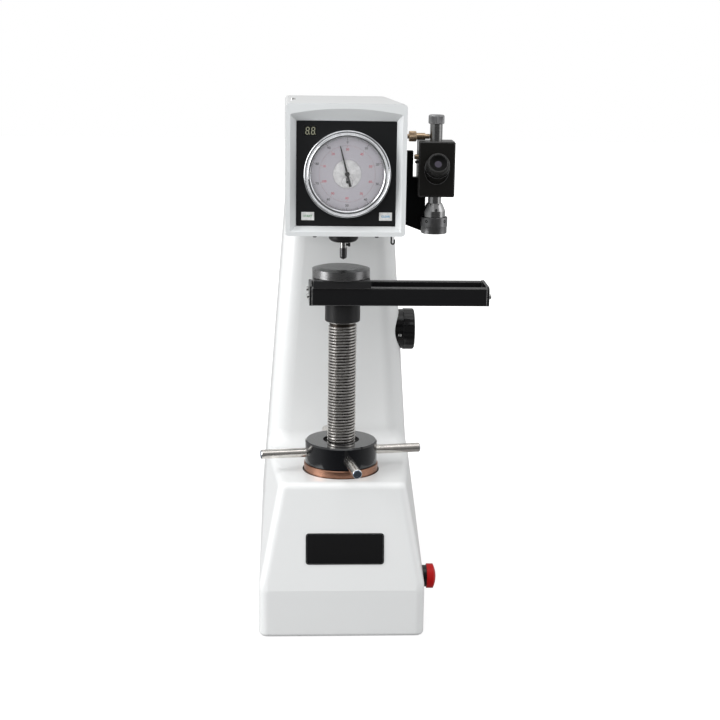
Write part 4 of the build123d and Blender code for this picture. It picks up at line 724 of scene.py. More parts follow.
@dataclass(frozen=True)
class Glass:
    """Clear or coated glass with a trace of smear in its polish."""

    name: str
    colour: Triple
    rough: float
    ior: float
    through: float

    def make(self) -> bpy.types.Material:
        """The finish as a material."""
        w = Recipe(self.name)
        smear = Effect.SMUDGE.use(w, Vector=w.millimetres(), Low=self.rough * 0.5, High=self.rough * 1.8)
        return w.done({"Roughness": smear, "Base Color": self.colour, "Transmission Weight": self.through,
                       "IOR": self.ior})


@dataclass(frozen=True)
class Glow:
    """Lit segment, brightest in the middle of its stroke."""
    # Lit segment whose tone varies a little from place to place.

    name: str
    colour: Triple
    strength: float

    def make(self) -> bpy.types.Material:
        """The finish as a material."""
        w = Recipe(self.name)
        flicker = w.spread(w.noise(w.millimetres(), 1.2, 2.0), 0.3, 0.7)
        tone = w.blend(flicker, dimmed(self.colour, 0.8), self.colour)
        return w.done({"Base Color": tone, "Emission Color": tone, "Emission Strength": self.strength,
                       "Roughness": 0.35})


# ------------------------------------------------------------------ studio
@dataclass
class Studio:
    """White room with a pale floor, the camera, and soft lamps by name, place, size and power."""

    lens: float = 75.0
    place: Triple = (-0.0819, -1.958, 0.808)
    pitch: float = 12.95
    yaw: float = 3.1
    roll: float = 0.84
    ambient: float = 0.93
    front: float = 0.2
    target: Triple = (0.0, 0.1, 0.36)
    lamps: tuple[tuple[str, Triple, tuple[float, float], float], ...] = (
        ("lamp_left", (-1.7, -0.5, 1.0), (1.0, 1.8), 28.0),
        ("lamp_right", (1.7, -0.45, 0.9), (0.9, 1.8), 4.5),
        ("lamp_top", (0.0, -0.5, 2.1), (1.6, 1.3), 6.5),
        ("lamp_front", (-0.9, -2.6, 2.2), (1.2, 0.8), 4.0))

    def stand(self, name: str, data: bpy.types.ID) -> bpy.types.Object:
        """Puts a new object into the scene."""
        thing = bpy.data.objects.new(name, data)
        bpy.context.scene.collection.objects.link(thing)
        return thing

    def camera(self) -> None:
        """Puts the camera where the object is seen as wanted.

        Forward is (sin yaw cos pitch, cos yaw cos pitch, -sin pitch), and the picture's right and
        up are turned about it by the roll.
        """
        yaw, pitch, roll = (math.radians(v) for v in (self.yaw, self.pitch, self.roll))
        forward = np.array([math.sin(yaw) * math.cos(pitch), math.cos(yaw) * math.cos(pitch), -math.sin(pitch)])
        right = np.array([math.cos(yaw), -math.sin(yaw), 0.0])
        up = np.cross(right, forward)
        data = bpy.data.cameras.new("camera")
        data.lens, data.sensor_width, data.clip_start = self.lens, 36.0, 0.05
        camera = self.stand("camera", data)
        matrix = np.eye(4)
        matrix[:3, 0] = math.cos(roll) * right + math.sin(roll) * up
        matrix[:3, 1] = -math.sin(roll) * right + math.cos(roll) * up
        matrix[:3, 2], matrix[:3, 3] = -forward, self.place
        camera.matrix_world = Matrix(matrix.tolist())
        bpy.context.scene.camera = camera

    def light(self) -> None:
        """Puts the soft rectangular lamps, each facing the target."""
        for name, place, size, power in self.lamps:
            data = bpy.data.lights.new(name, "AREA")
            data.shape, data.energy = "RECTANGLE", power
            data.size, data.size_y = size
            lamp = self.stand(name, data)
            lamp.location = place
            lamp.rotation_euler = (Vector(self.target) - Vector(place)).to_track_quat("-Z", "Y").to_euler()

    def world(self) -> None:
        """White behind for the eye, a softer level for diffuse light, and a dim side at the front.

        The brightness seen in gloss is highest beside the object.  It falls to the front level on
        the side of the camera's stand, and to about half behind the object.
        """
        world = bpy.data.worlds.new("room")
        world.use_nodes = True
        world.node_tree.nodes.clear()
        w = Wiring(world.node_tree)
        way = w.parts(w.add("TexCoord").outputs["Generated"])["Y"]
        room = w.times(w.spread(way, -0.9, -0.05, self.front, 0.85), w.spread(way, 0.25, 0.9, 1.0, 0.5))
        path = w.add("LightPath").outputs
        seen = w.math("MAXIMUM", path["Is Camera Ray"], path["Is Transmission Ray"])
        gloss = path["Is Glossy Ray"]
        soft = w.times(w.math("SUBTRACT", 1.0, gloss), self.ambient)
        level = w.math("MAXIMUM", seen, w.math("ADD", w.times(gloss, room), soft))
        background = w.add("Background", {"Color": grey(1.0), "Strength": level})
        w.add("OutputWorld", {0: background.outputs[0]})
        bpy.context.scene.world = world

    def floor(self) -> None:
        """Pale floor that is white to the eye except in the object's shadow.

        Its own light is held back near the object, so that the shadow shows, and reaches full white
        a little over a metre out.  In gloss it is dim, and dimmer on the side of the camera.
        """
        x, y = np.meshgrid(*[np.linspace(-8000.0, 8000.0, 9)] * 2)
        shell = grid(np.stack([x, y, 0.0 * x], axis=-1), closed=False, caps=False)
        w = Recipe("floor")
        place = w.millimetres()
        path = w.add("LightPath").outputs
        seen = w.math("MAXIMUM", path["Is Camera Ray"], path["Is Transmission Ray"])
        gloss = path["Is Glossy Ray"]
        tint = w.spread(w.noise(place, 0.002, 2.0), 0.3, 0.7, 0.3, 0.32)
        away = w.add("VectorMath", {0: place}, operation="LENGTH").outputs["Value"]
        far = w.spread(away, 500.0, 1300.0, 0.74, 1.1)
        side = w.spread(w.parts(place)["Y"], -900.0, 300.0, 0.04, 0.4)
        material = w.done({
            "Base Color": w.times(tint, w.math("SUBTRACT", 1.0, gloss)), "Roughness": 0.75,
            "Specular IOR Level": 0.15, "Emission Color": grey(1.0),
            "Emission Strength": w.math("ADD", w.times(seen, far), w.times(gloss, side))})
        mesh = bpy.data.meshes.new("floor")
        mesh.from_pydata((shell.points * MM).tolist(), [], shell.quads.tolist())
        mesh.materials.append(material)
        self.stand("floor", mesh)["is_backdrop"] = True

    def build(self) -> None:
        """Sets up the whole room."""
        self.camera()
        self.floor()
        self.world()
        self.light()
        bpy.context.scene.view_settings.view_transform = "Standard"
        LOG.info("studio is ready")


# ------------------------------------------------------------------ sub-assemblies
@dataclass
class Assembly:
    """Part of the machine: nodes of the frame in their finishes, and the pieces added to them.
    """

    nodes: dict[str, bpy.types.Object]
    kit: dict[str, bpy.types.Material]
    dress: Dress = ()

    def put(self, name: str, shell: Shell, finish: str, body: str, slot: str, *replaces: str,
            smooth: float = SMOOTH_ANGLE) -> None:
        """Args:
            name: Name of the piece.
            shell: Its surface.
            finish: Name of its finish.
            body: Body that it rides on.
            slot: Material slot of the record.
            *replaces: Nodes of the frame that it stands for.
            smooth: Angle under which its faces are shaded as one.
        """
        make_piece(name, shell, self.kit[finish], body, slot, replaces, smooth)

    def pieces(self) -> None:
        """Adds what the nodes lack."""

    def build(self) -> None:
        """Gives each node its finish and adds the pieces."""
        for finish, names in self.dress:
            for name in names.split():
                for slot in self.nodes[name].material_slots:
                    slot.material = self.kit[finish]
        self.pieces()
        LOG.info("%s is dressed", type(self).__name__)


@dataclass
class Casting(Assembly):
    """The painted body: cast frame, lid, rear sheet, their screws, and the bare plate in front."""

    size: tuple[float, float] = (103.5, 41.6)
    middle: tuple[float, float] = (3.25, 120.3)
    depth: float = 0.9
    nose_foot: tuple[float, float] = (-94.0, 65.0)
    lean: float = math.atan(25.0 / 141.0)
    dress: Dress = (("enamel", "frame_casting top_cover rear_cover"), ("bright_steel_z", "cover_screws"))

    def pieces(self) -> None:
        """Black plate with a thin bright bead inside its edge, laid on the sloping front."""
        (x, z), (foot_y, foot_z), (width, height) = self.middle, self.nose_foot, self.size
        sine, cosine = math.sin(self.lean), math.cos(self.lean)
        axes = np.array([[1, 0, 0], [0, sine, cosine], [0, -cosine, sine]])
        place = (x, foot_y + (z - foot_z) * math.tan(self.lean), z)
        body = plate(width, height, self.depth, 4.0, 0.3).placed(place, axes)
        self.put("bare_plate", body, "plate_black", "machine", "panel_black")
        outer, inner = (rounded_outline(width - less, height - less, corner)
                        for less, corner in ((2.6, 3.0), (3.3, 2.7)))
        low, high = self.depth - 0.05, self.depth + 0.06
        ring = [levelled(o, z) for o, z in ((outer, low), (outer, high), (inner, high), (inner, low), (outer, low))]
        self.put("plate_bead", grid(np.array(ring), caps=False).placed(place, axes), "plate_bead", "machine",
                 "trim_grey")


@dataclass(frozen=True)
class Scale:
    """Printed ring of a hundred divisions with ten figures inside it.

    The inner radii and the widths belong to a tenth mark, a fifth mark and any other.
    """

    inner: Triple
    outer: float
    widths: Triple
    figure_radius: float
    figure_height: float
    weight: float
    hoops: tuple[tuple[float, float], ...] = ()
    start: int = 0
    zero: int = 0

    def shell(self) -> Shell:
        """The marks, hoops and figures in the XY plane."""
        order = np.arange(100)
        kind = np.where(order % 10 == 0, 0, np.where(order % 5 == 0, 1, 2))
        shapes = [ring_marks(100, np.array(self.inner)[kind], self.outer, np.array(self.widths)[kind])]
        shapes += [hoop(radius, 180, width) for radius, width in self.hoops]
        for step in range(FIGURES):
            a = 2 * math.pi * step / FIGURES
            number = (step * 10 + self.start) % 100 or self.zero
            figure = lettering(str(number), self.figure_height, weight=self.weight)
            place = (math.sin(a) * self.figure_radius, math.cos(a) * self.figure_radius, 0.0)
            shapes.append(figure.placed(place, np.eye(3)))
        return join(shapes)


@dataclass
class DialHead(Assembly):
    """Front frame, panel, lit counter, two keys and the big dial."""

    centre: tuple[float, float] = (1.5, 611.5)
    face_y: float = -54.6
    panel_y: float = -50.3
    counter_drop: float = 10.0
    counter_radius: float = 7.0
    digits: Triple = (-45.5, -49.5, 665.0)
    digit_offsets: tuple[float, float] = (-3.6, 3.6)
    digit_half: tuple[float, float] = (1.85, 2.15)
    digit_slant: float = 0.1
    bar_width: float = 0.72
    bar_gap: float = 0.5
    point: tuple[float, float] = (2.7, -4.55)
    point_size: float = 0.9
    lit_depth: float = 0.08
    keys: tuple[tuple[float, str, str], ...] = ((-48.1, "start", "ink_green"), (51.4, "clear", "ink_blue"))
    key_y: float = -51.2
    key_z: float = 557.0
    word_height: float = 2.6
    screw_x: tuple[float, float] = (-39.0, 40.3)
    screw_foot: tuple[float, float] = (-54.0, 532.6)
    black_scale: Scale = Scale((42.9, 43.7, 44.5), 46.1, (0.42, 0.3, 0.2), 40.1, 3.1, 0.025,
                               hoops=((46.2, 0.22), (35.9, 0.12)))
    red_scale: Scale = Scale((33.6, 34.3, 34.9), 35.8, (0.3, 0.16, 0.16), 30.9, 3.0, 0.03, start=30, zero=100)
    dress: Dress = (("trim", "front_frame"), ("panel", "front_panel"), ("dial_white", "dial_face dial_case"),
                    ("glass", "dial_glass"), ("hand", "main_pointer turn_pointer"),
                    ("display", "display_module"), ("key", "start_key clear_key"))

    def bezel(self) -> None:
        """Bright ring with a bead outside, a groove, and a second bead round the glass."""
        x, z = self.centre
        profile = [(52.3, 0.0), (55.3, 0.0), (55.5, 0.3), (55.5, 8.6), (55.2, 9.8), (54.5, 10.6), (53.6, 10.9),
                   (52.8, 10.5), (52.2, 9.8), (51.4, 9.5), (50.9, 9.7), (50.4, 10.7), (49.7, 11.4), (48.9, 11.7),
                   (48.1, 11.6), (47.5, 11.2), (46.75, 10.2), (52.3, 10.19)]
        ring = turned(profile, 192, ring=True).facing((x, self.panel_y, z), Direction.FRONT)
        self.put("double_bezel", ring, "bezel", "bezel", "chrome", "dial_bezel", smooth=math.radians(40.0))

    def dial(self) -> None:
        """Paler middle of the still disc, the two scales, and the counter's scale on the disc."""
        x, z = self.centre
        place = (x, self.face_y, z)
        disc = turned([(0.0, 0.0), (17.85, 0.0), (17.95, 0.03), (17.9, 0.06), (0.0, 0.06)], 128)
        self.put("centre_plate", disc.facing(place, Direction.FRONT), "disc_pale", "machine", "dial_white")
        for name, scale, ink, slot in (("dial_scale", self.black_scale, "ink_black", "hand_black"),
                                       ("dial_scale_red", self.red_scale, "ink_red", "stop_red")):
            self.put(name, scale.shell().facing(place, Direction.FRONT), ink, "bezel", slot)
        radius = self.counter_radius
        marks = ring_marks(10, radius - 0.9, radius, 0.22) + hoop(radius, 60, 0.16)
        self.put("counter_scale", marks.facing((x, self.face_y - 0.06, z - self.counter_drop), Direction.FRONT),
                 "ink_black", "machine", "hand_black")

    def lit_digits(self) -> None:
        """Two seven-bar figures with their points in front of a dark window."""
        x, y, z = self.digits
        bars = [((-1, 2), (1, 2)), ((1, 2), (1, 0)), ((1, 0), (1, -2)), ((1, -2), (-1, -2)), ((-1, -2), (-1, 0)),
                ((-1, 0), (-1, 2)), ((-1, 0), (1, 0))]
        ends = np.array(bars, float) * np.array(self.digit_half)
        along = ends[:, 1] - ends[:, 0]
        gap = along / np.linalg.norm(along, axis=1, keepdims=True) * self.bar_gap
        lean = np.array([[1.0, 0.0], [self.digit_slant, 1.0]])
        starts, stops = (ends[:, 0] + gap) @ lean, (ends[:, 1] - gap) @ lean
        shapes = []
        for offset in self.digit_offsets:
            shift = np.array([offset, 0.0])
            shapes.append(strokes(starts + shift, stops + shift, self.bar_width, self.lit_depth))
            dot = shift + [self.point]
            shapes.append(strokes(dot, dot + [[0.0, self.point_size]], self.point_size, self.lit_depth))
        self.put("lit_figures", join(shapes).facing((x, y - 0.12, z), Direction.FRONT), "lit", "machine",
                 "display_green")
        pane = plate(15.4, 12.0, 0.12, 0.8, 0.04).facing((x, y, z), Direction.FRONT)
        self.put("counter_window", pane, "window", "machine", "display_green")

    def key_words(self) -> None:
        """Printed word on each key."""
        for x, word, ink in self.keys:
            text = lettering(word.upper(), self.word_height, weight=0.03)
            self.put(f"{word}_word", text.facing((x, self.key_y, self.key_z), Direction.FRONT), ink,
                     f"{word}_button", "display_green")

    def pieces(self) -> None:
        """The bezel, all marks, and two small dark heads under the frame's lower edge."""
        self.bezel()
        self.dial()
        self.lit_digits()
        self.key_words()
        heads = [socket_head(2.6, 2.2, 1.1, 1.3).facing((x, *self.screw_foot), Direction.DOWN)
                 for x in self.screw_x]
        self.put("frame_screw_heads", join(heads), "dark_steel", "machine", "dark_steel")


@dataclass
class Spindle(Assembly):
    """Indenter spindle with its housing, holder and diamond tip."""

    dress: Dress = (("oxide", "spindle_housing"), ("bright_steel_z", "spindle indenter_tip"),
                    ("dark_steel", "indenter_holder indenter_screw"))


@dataclass
class ElevatingDrive(Assembly):
    """Elevating screw with its thread, the handwheel with four bars, and the ring below."""

    root: float = 16.9
    crest: float = 19.0
    pitch: float = 4.0
    low: float = 165.0
    thread_low: float = 168.0
    thread_high: float = 408.5
    high: float = 411.0
    spigot: tuple[float, float] = (15.0, 453.0)
    ridge_sunk: float = 0.3
    key_half: float = 3.0
    key_clearance: float = 0.1
    key_floor: float = 15.5
    key_top: float = 407.0
    platform_z: float = 206.0
    dress: Dress = (("hub", "handwheel_hub"), ("spoke", "handwheel_spokes"),
                    ("bronze", "thrust_ring screw_guide"), ("oxide", "screw_collar"))

    def in_keyway(self, turn: Array) -> NDArray[np.bool_]:
        """Whether each angle lies in the keyway, whose walls stand just clear of the guide's key.

        Args:
            turn: Angles about the screw's axis.

        Returns:
            True where the floor's point at that angle is within half the keyway's width.
        """
        half = self.key_half + self.key_clearance
        return (self.key_floor * np.abs(np.cos(turn)) < half) & (np.sin(turn) > 0)

    def core(self) -> Shell:
        """Bar at the thread's root, with a keyway at the back where y stays at its floor."""
        turn = angles(192)
        foot, (spigot, top) = self.thread_low, self.spigot
        steps = [(0.0, self.low), (self.crest - 1.2, self.low), (self.crest, self.low + 1.2), (self.crest, foot),
                 (self.root, foot + 1.0), (self.root, self.key_top - 0.02), (self.root, self.key_top),
                 (self.root, self.thread_high), (self.crest, self.thread_high + 1.0), (self.crest, self.high),
                 (spigot, self.high), (spigot, top - 1.0), (spigot - 1.0, top), (0.0, top)]
        radius = np.array(steps)[:, :1]
        keyed = np.isin(np.arange(len(steps)), range(1, 6))[:, None]
        cut = self.key_floor / np.maximum(np.sin(turn), 0.2)
        ripple = np.where(self.in_keyway(turn) & keyed, np.minimum(cut - radius, 0.0), 0.0)
        return turned(steps, len(turn), ripple)

    def ridge(self) -> Shell:
        """Thread: a four-sided ridge along the helix z = pitch * turns, run out at both ends.

        The ridge sinks into the bar over a third of a turn at its ends and across the keyway.
        """
        per_turn = 96
        turns = (self.thread_high - self.thread_low - 2.0) / self.pitch
        turn = np.arange(int(turns * per_turn)) * 2 * np.pi / per_turn
        z = self.thread_low + 1.0 + self.pitch * turn / (2 * np.pi)
        out = np.stack([np.cos(turn), np.sin(turn), 0 * turn], axis=1)
        up = np.array([0.0, 0.0, 1.0])
        in_key = self.in_keyway(turn) & (z < self.key_top)
        base = self.root - self.ridge_sunk
        path = out * np.where(in_key, self.key_floor - 2 * self.ridge_sunk, base)[:, None] + z[:, None] * up
        ends = np.minimum(turn, turn[-1] - turn) / (2 * np.pi / 3)
        fade = np.clip(ends, 0.02, 1.0) * np.where(in_key, 0.02, 1.0)
        rise, foot, tip = self.crest - base, self.pitch * 0.36, self.pitch * 0.2
        section = np.array([[foot, 0.0], [tip + 0.12, rise - 0.1], [tip, rise], [-tip, rise],
                            [-tip - 0.12, rise - 0.1], [-foot, 0.0]])
        return grid(path[:, None] + up * section[None, :, :1]
                    + out[:, None] * section[None, :, 1:] * fade[:, None, None])

    def pieces(self) -> None:
        """The screw, and a near-black ring of painted shadow in the groove of the platform round the bronze ring.
        """
        self.put("threaded_screw", self.core() + self.ridge(), "thread", "rail_stage", "steel", "elevating_screw",
                 smooth=math.radians(28.0))
        # Near-black ring in the platform's groove round the bronze ring: painted shadow of the gap there.
        low, high = self.platform_z - 1.95, self.platform_z - 0.35
        painted_shadow_ring = turned([(50.2, low), (51.9, low), (51.9, high), (50.2, high)], 128, ring=True)
        self.put("groove_felt", painted_shadow_ring, "hole", "machine", "black_oxide")


@dataclass
class RailStage(Assembly):
    """Sliding stage: two rails between end plates, the slide block and the round anvil."""

    screw_y: float = 26.0
    screw_z: float = 449.0
    left_x: float = -45.0
    right_x: float = 191.5
    dress: Dress = (("anodised", "stage_rail_front stage_rail_rear stage_end_left stage_end_right"),
                    ("oxide", "slide_block"), ("anvil", "anvil"))

    def pieces(self) -> None:
        """Socket heads on both end plates, standing for the plain ones."""
        heads = [socket_head(3.4, 3.0, 1.25, 1.6).facing((x, y, self.screw_z), way)
                 for y in (-self.screw_y, self.screw_y)
                 for x, way in ((self.left_x, Direction.LEFT), (self.right_x, Direction.X))]
        self.put("rail_screws", join(heads), "bright_steel_x", "rail_stage", "steel", "stage_screws")


@dataclass
class Microscope(Assembly):
    """Side microscope with its bracket, lamp tube, eyepiece, objective and brass clamp."""

    axis_x: float = 119.0
    eye: Triple = (119.0, -20.0, 614.0)
    eye_tilt: float = math.radians(30.0)
    clamp_z: float = 655.5
    side_x: float = 95.23
    fitting_z: float = 629.0
    ring_hole_z: float = 546.2
    ring_radius: float = 17.4
    hole_degrees: tuple[float, ...] = (-40.0, 46.0, 140.0, 226.0)
    tube_hole: tuple[float, float] = (4.6, 15.95)
    barrel_screw: Triple = (120.2, -14.4, 561.1)
    dress: Dress = (("scope_black", "microscope_body eyepiece_tube"), ("bracket", "microscope_bracket"),
                    ("lamp_tube", "lamp_tube"), ("barrel", "objective_barrel"),
                    ("knurl", "objective_ring lamp_cap eyepiece_ring"),
                    ("lens", "eyepiece_lens objective_lens"), ("brass", "clamp_screw"))

    def upright(self) -> None:
        """Fluted cap, and the knurled ring on the objective with four black discs of painted shade for its blind
        spanner holes.
        """
        axis = (self.axis_x, 0.0, 0.0)
        profile = [(0.0, 672.0), (9.4, 672.0), (10.3, 672.7), (10.4, 673.2), (10.4, 681.4), (10.3, 682.0),
                   (9.5, 683.2), (8.6, 683.5), (0.0, 683.5)]
        cap = fluted(profile, [0, 0, 0.2, 1, 1, 0.6, 0, 0, 0], 36, 0.5)
        self.put("fluted_cap", cap.facing(axis, Direction.Z), "cap_grey", "cap", "anodised_black", "lamp_cap")
        profile = [(11.2, 529.5), (16.2, 529.5), (17.0, 530.3), (17.0, 538.2), (17.4, 538.7), (17.6, 539.3),
                   (17.6, 550.2), (17.3, 550.9), (16.6, 551.0), (11.2, 551.0)]
        ring = fluted(profile, [0, 0, 0, 0, 0.4, 1, 1, 0.4, 0, 0], 54, 0.42, ring=True)
        self.put("knurled_ring", ring.facing(axis, Direction.Z), "knurl", "objective", "anodised_black")
        # Black discs standing proud of the ring: painted shade in the spanner holes.
        disc = turned([(0.0, 0.0), (1.9, 0.0), (1.9, 0.3), (1.6, 0.34), (0.0, 0.05)], 24)
        holes = []
        for a in np.radians(self.hole_degrees):
            out = np.array([math.sin(a), -math.cos(a), 0.0])
            axes = np.array([[math.cos(a), math.sin(a), 0.0], [0.0, 0.0, 1.0], out])
            holes.append(disc.placed(np.array([self.axis_x, 0.0, self.ring_hole_z]) + out * self.ring_radius, axes))
        self.put("ring_holes", join(holes), "hole", "objective", "black_oxide")

    def eyepiece(self) -> None:
        """Fluted ring round the eyepiece, a black funnel in front of its lens whose near-black finish also paints
        the shade inside the eyepiece, and a black disc of painted shade for the tube's small blind bore.
        """
        out = np.array([0.0, -math.cos(self.eye_tilt), math.sin(self.eye_tilt)])
        axes = np.array([[1.0, 0.0, 0.0], np.cross(out, [1.0, 0.0, 0.0]), out])
        profile = [(11.05, 9.3), (14.0, 9.3), (14.75, 9.9), (14.8, 10.4), (14.8, 19.2), (14.6, 20.4),
                   (13.6, 21.7), (12.8, 22.0), (11.6, 21.8), (11.05, 21.0)]
        ring = fluted(profile, [0, 0, 0.4, 1, 1, 0.5, 0, 0, 0, 0], 48, 0.35, ring=True)
        self.put("eye_ring", ring.placed(self.eye, axes), "scope_black", "eyepiece", "anodised_black",
                 "eyepiece_ring")
        # The funnel is a black part; its near-black finish is also painted shade inside the eyepiece.
        funnel = turned([(10.95, 20.8), (10.95, 18.1), (4.6, 18.1), (4.7, 18.3), (8.0, 19.0), (10.4, 20.8)],
                        ring=True)
        self.put("eye_funnel", funnel.placed(self.eye, axes), "hole", "eyepiece", "black_oxide")
        # Black disc standing for the tube's small blind bore: painted shade.
        radial = -0.72 * axes[0] - 0.694 * axes[1]
        dot = turned([(0.0, 0.0), (1.3, 0.0), (1.3, 0.2), (1.1, 0.24), (0.0, 0.02)], 24)
        along, radius = self.tube_hole
        self.put("tube_hole", dot.placed(np.array(self.eye) + out * along + radial * radius,
                                         np.array([out, np.cross(radial, out), radial])),
                 "hole", "machine", "black_oxide")

    def small_parts(self) -> None:
        """Brass stub and black screw on the housing's left side, and the barrel's set screw."""
        stub = turned([(0.0, 0.0), (3.4, 0.0), (3.4, 3.4), (2.9, 4.1), (0.0, 4.1)], 48)
        self.put("side_stub", stub.facing((self.side_x, 0.0, self.fitting_z), Direction.LEFT), "brass",
                 "machine", "brass")
        head = socket_head(2.1, 3.0, 0.9, 1.0)
        self.put("side_screw", head.facing((self.side_x, 0.0, self.fitting_z - 6.6), Direction.LEFT), "oxide",
                 "machine", "black_oxide")
        screw = socket_head(1.7, 0.7, 0.7, 0.5)
        self.put("barrel_screw", screw.facing(self.barrel_screw, Direction.FRONT), "dark_steel", "machine",
                 "dark_steel")

    def pieces(self) -> None:
        """The turned parts, the small parts and the knurled brass clamp screw."""
        self.upright()
        self.eyepiece()
        self.small_parts()
        profile = [(0.0, 66.5), (3.0, 66.5), (3.0, 83.5), (6.2, 83.5), (6.9, 84.2), (6.9, 92.2), (6.3, 93.0),
                   (4.5, 93.0), (4.5, 104.5), (3.2, 104.5), (3.2, 110.2), (2.8, 110.6), (0.0, 110.6)]
        screw = fluted(profile, [0, 0, 0, 0.3, 1, 1, 0.3, 0, 0, 0, 0, 0, 0], 30, 0.4)
        self.put("brass_clamp", screw.facing((0.0, 0.0, self.clamp_z), Direction.X), "brass", "clamp", "brass",
                 "clamp_screw")


@dataclass
class SideControls(Assembly):
    """Force ring with its knob, and the emergency stop."""

    ring: tuple[float, float] = (158.0, 367.5)
    ring_radius: float = 28.4
    figure_x: float = 87.6
    knob_left: float = 93.0
    figures: tuple[tuple[float, str], ...] = ((-8.0, "60"), (112.0, "100"), (232.0, "150"))
    dress: Dress = (("knob", "force_ring force_knob stop_collar"),
                    ("bright_steel_x", "selector_shaft stop_plunger"), ("stop_red", "stop_head"))

    def pieces(self) -> None:
        """Figures on the rim of the force ring, and the knob with broad shallow flutes."""
        marks = []
        for degrees, word in self.figures:
            a = math.radians(degrees)
            out = np.array([0.0, -math.cos(a), math.sin(a)])
            axes = np.array([[1.0, 0.0, 0.0], [0.0, math.sin(a), math.cos(a)], out])
            place = np.array([self.figure_x, *self.ring]) + out * (self.ring_radius - 0.06)
            marks.append(lettering(word, 3.6, 0.16).placed(place, axes))
        self.put("force_figures", join(marks), "ink_white", "force_selector", "dial_white")
        profile = [(0.0, 0.0), (28.4, 0.0), (29.4, 0.6), (29.6, 1.5), (29.6, 13.6), (29.1, 15.3), (27.5, 16.4),
                   (25.6, 16.5), (23.2, 16.2), (0.0, 16.0)]
        knob = fluted(profile, [0, 0.2, 0.8, 1, 1, 0.8, 0.3, 0, 0, 0], 18, 0.55, 12)
        self.put("ribbed_knob", knob.facing((self.knob_left, *self.ring), Direction.X), "knob", "force_selector",
                 "knob_black", "force_knob")


@dataclass
class LoadTrain(Assembly):
    """Lever, hanger, weights, lifting cam, motor and damper inside the casting."""

    dress: Dress = (("iron", "weight_discs loading_lever"),
                    ("bright_steel_z", "weight_hanger damper_cylinder damper_piston"),
                    ("bright_steel_x", "lever_fulcrum"), ("dark_steel", "lift_cam"), ("motor", "load_motor"))


@dataclass
class Fittings(Assembly):
    """Mains inlet at the back and the wire hook under the head."""

    inlet: Triple = (-62.0, 401.0, 38.0)
    socket_deep: float = 15.0
    dress: Dress = (("knob", "power_inlet"), ("oxide", "cable_hook"))

    def pieces(self) -> None:
        """Three flat pins in the inlet's socket."""
        x, y, z = self.inlet
        blade = plate(1.6, 4.4, self.socket_deep - 3.0, 0.3, 0.25)
        blades = [blade.facing((x + dx, y - self.socket_deep - 0.2, z + dz), Direction.REAR)
                  for dx, dz in ((-7, -1), (0, 1.6), (7, -1))]
        self.put("inlet_pins", join(blades), "brass", "machine", "brass")


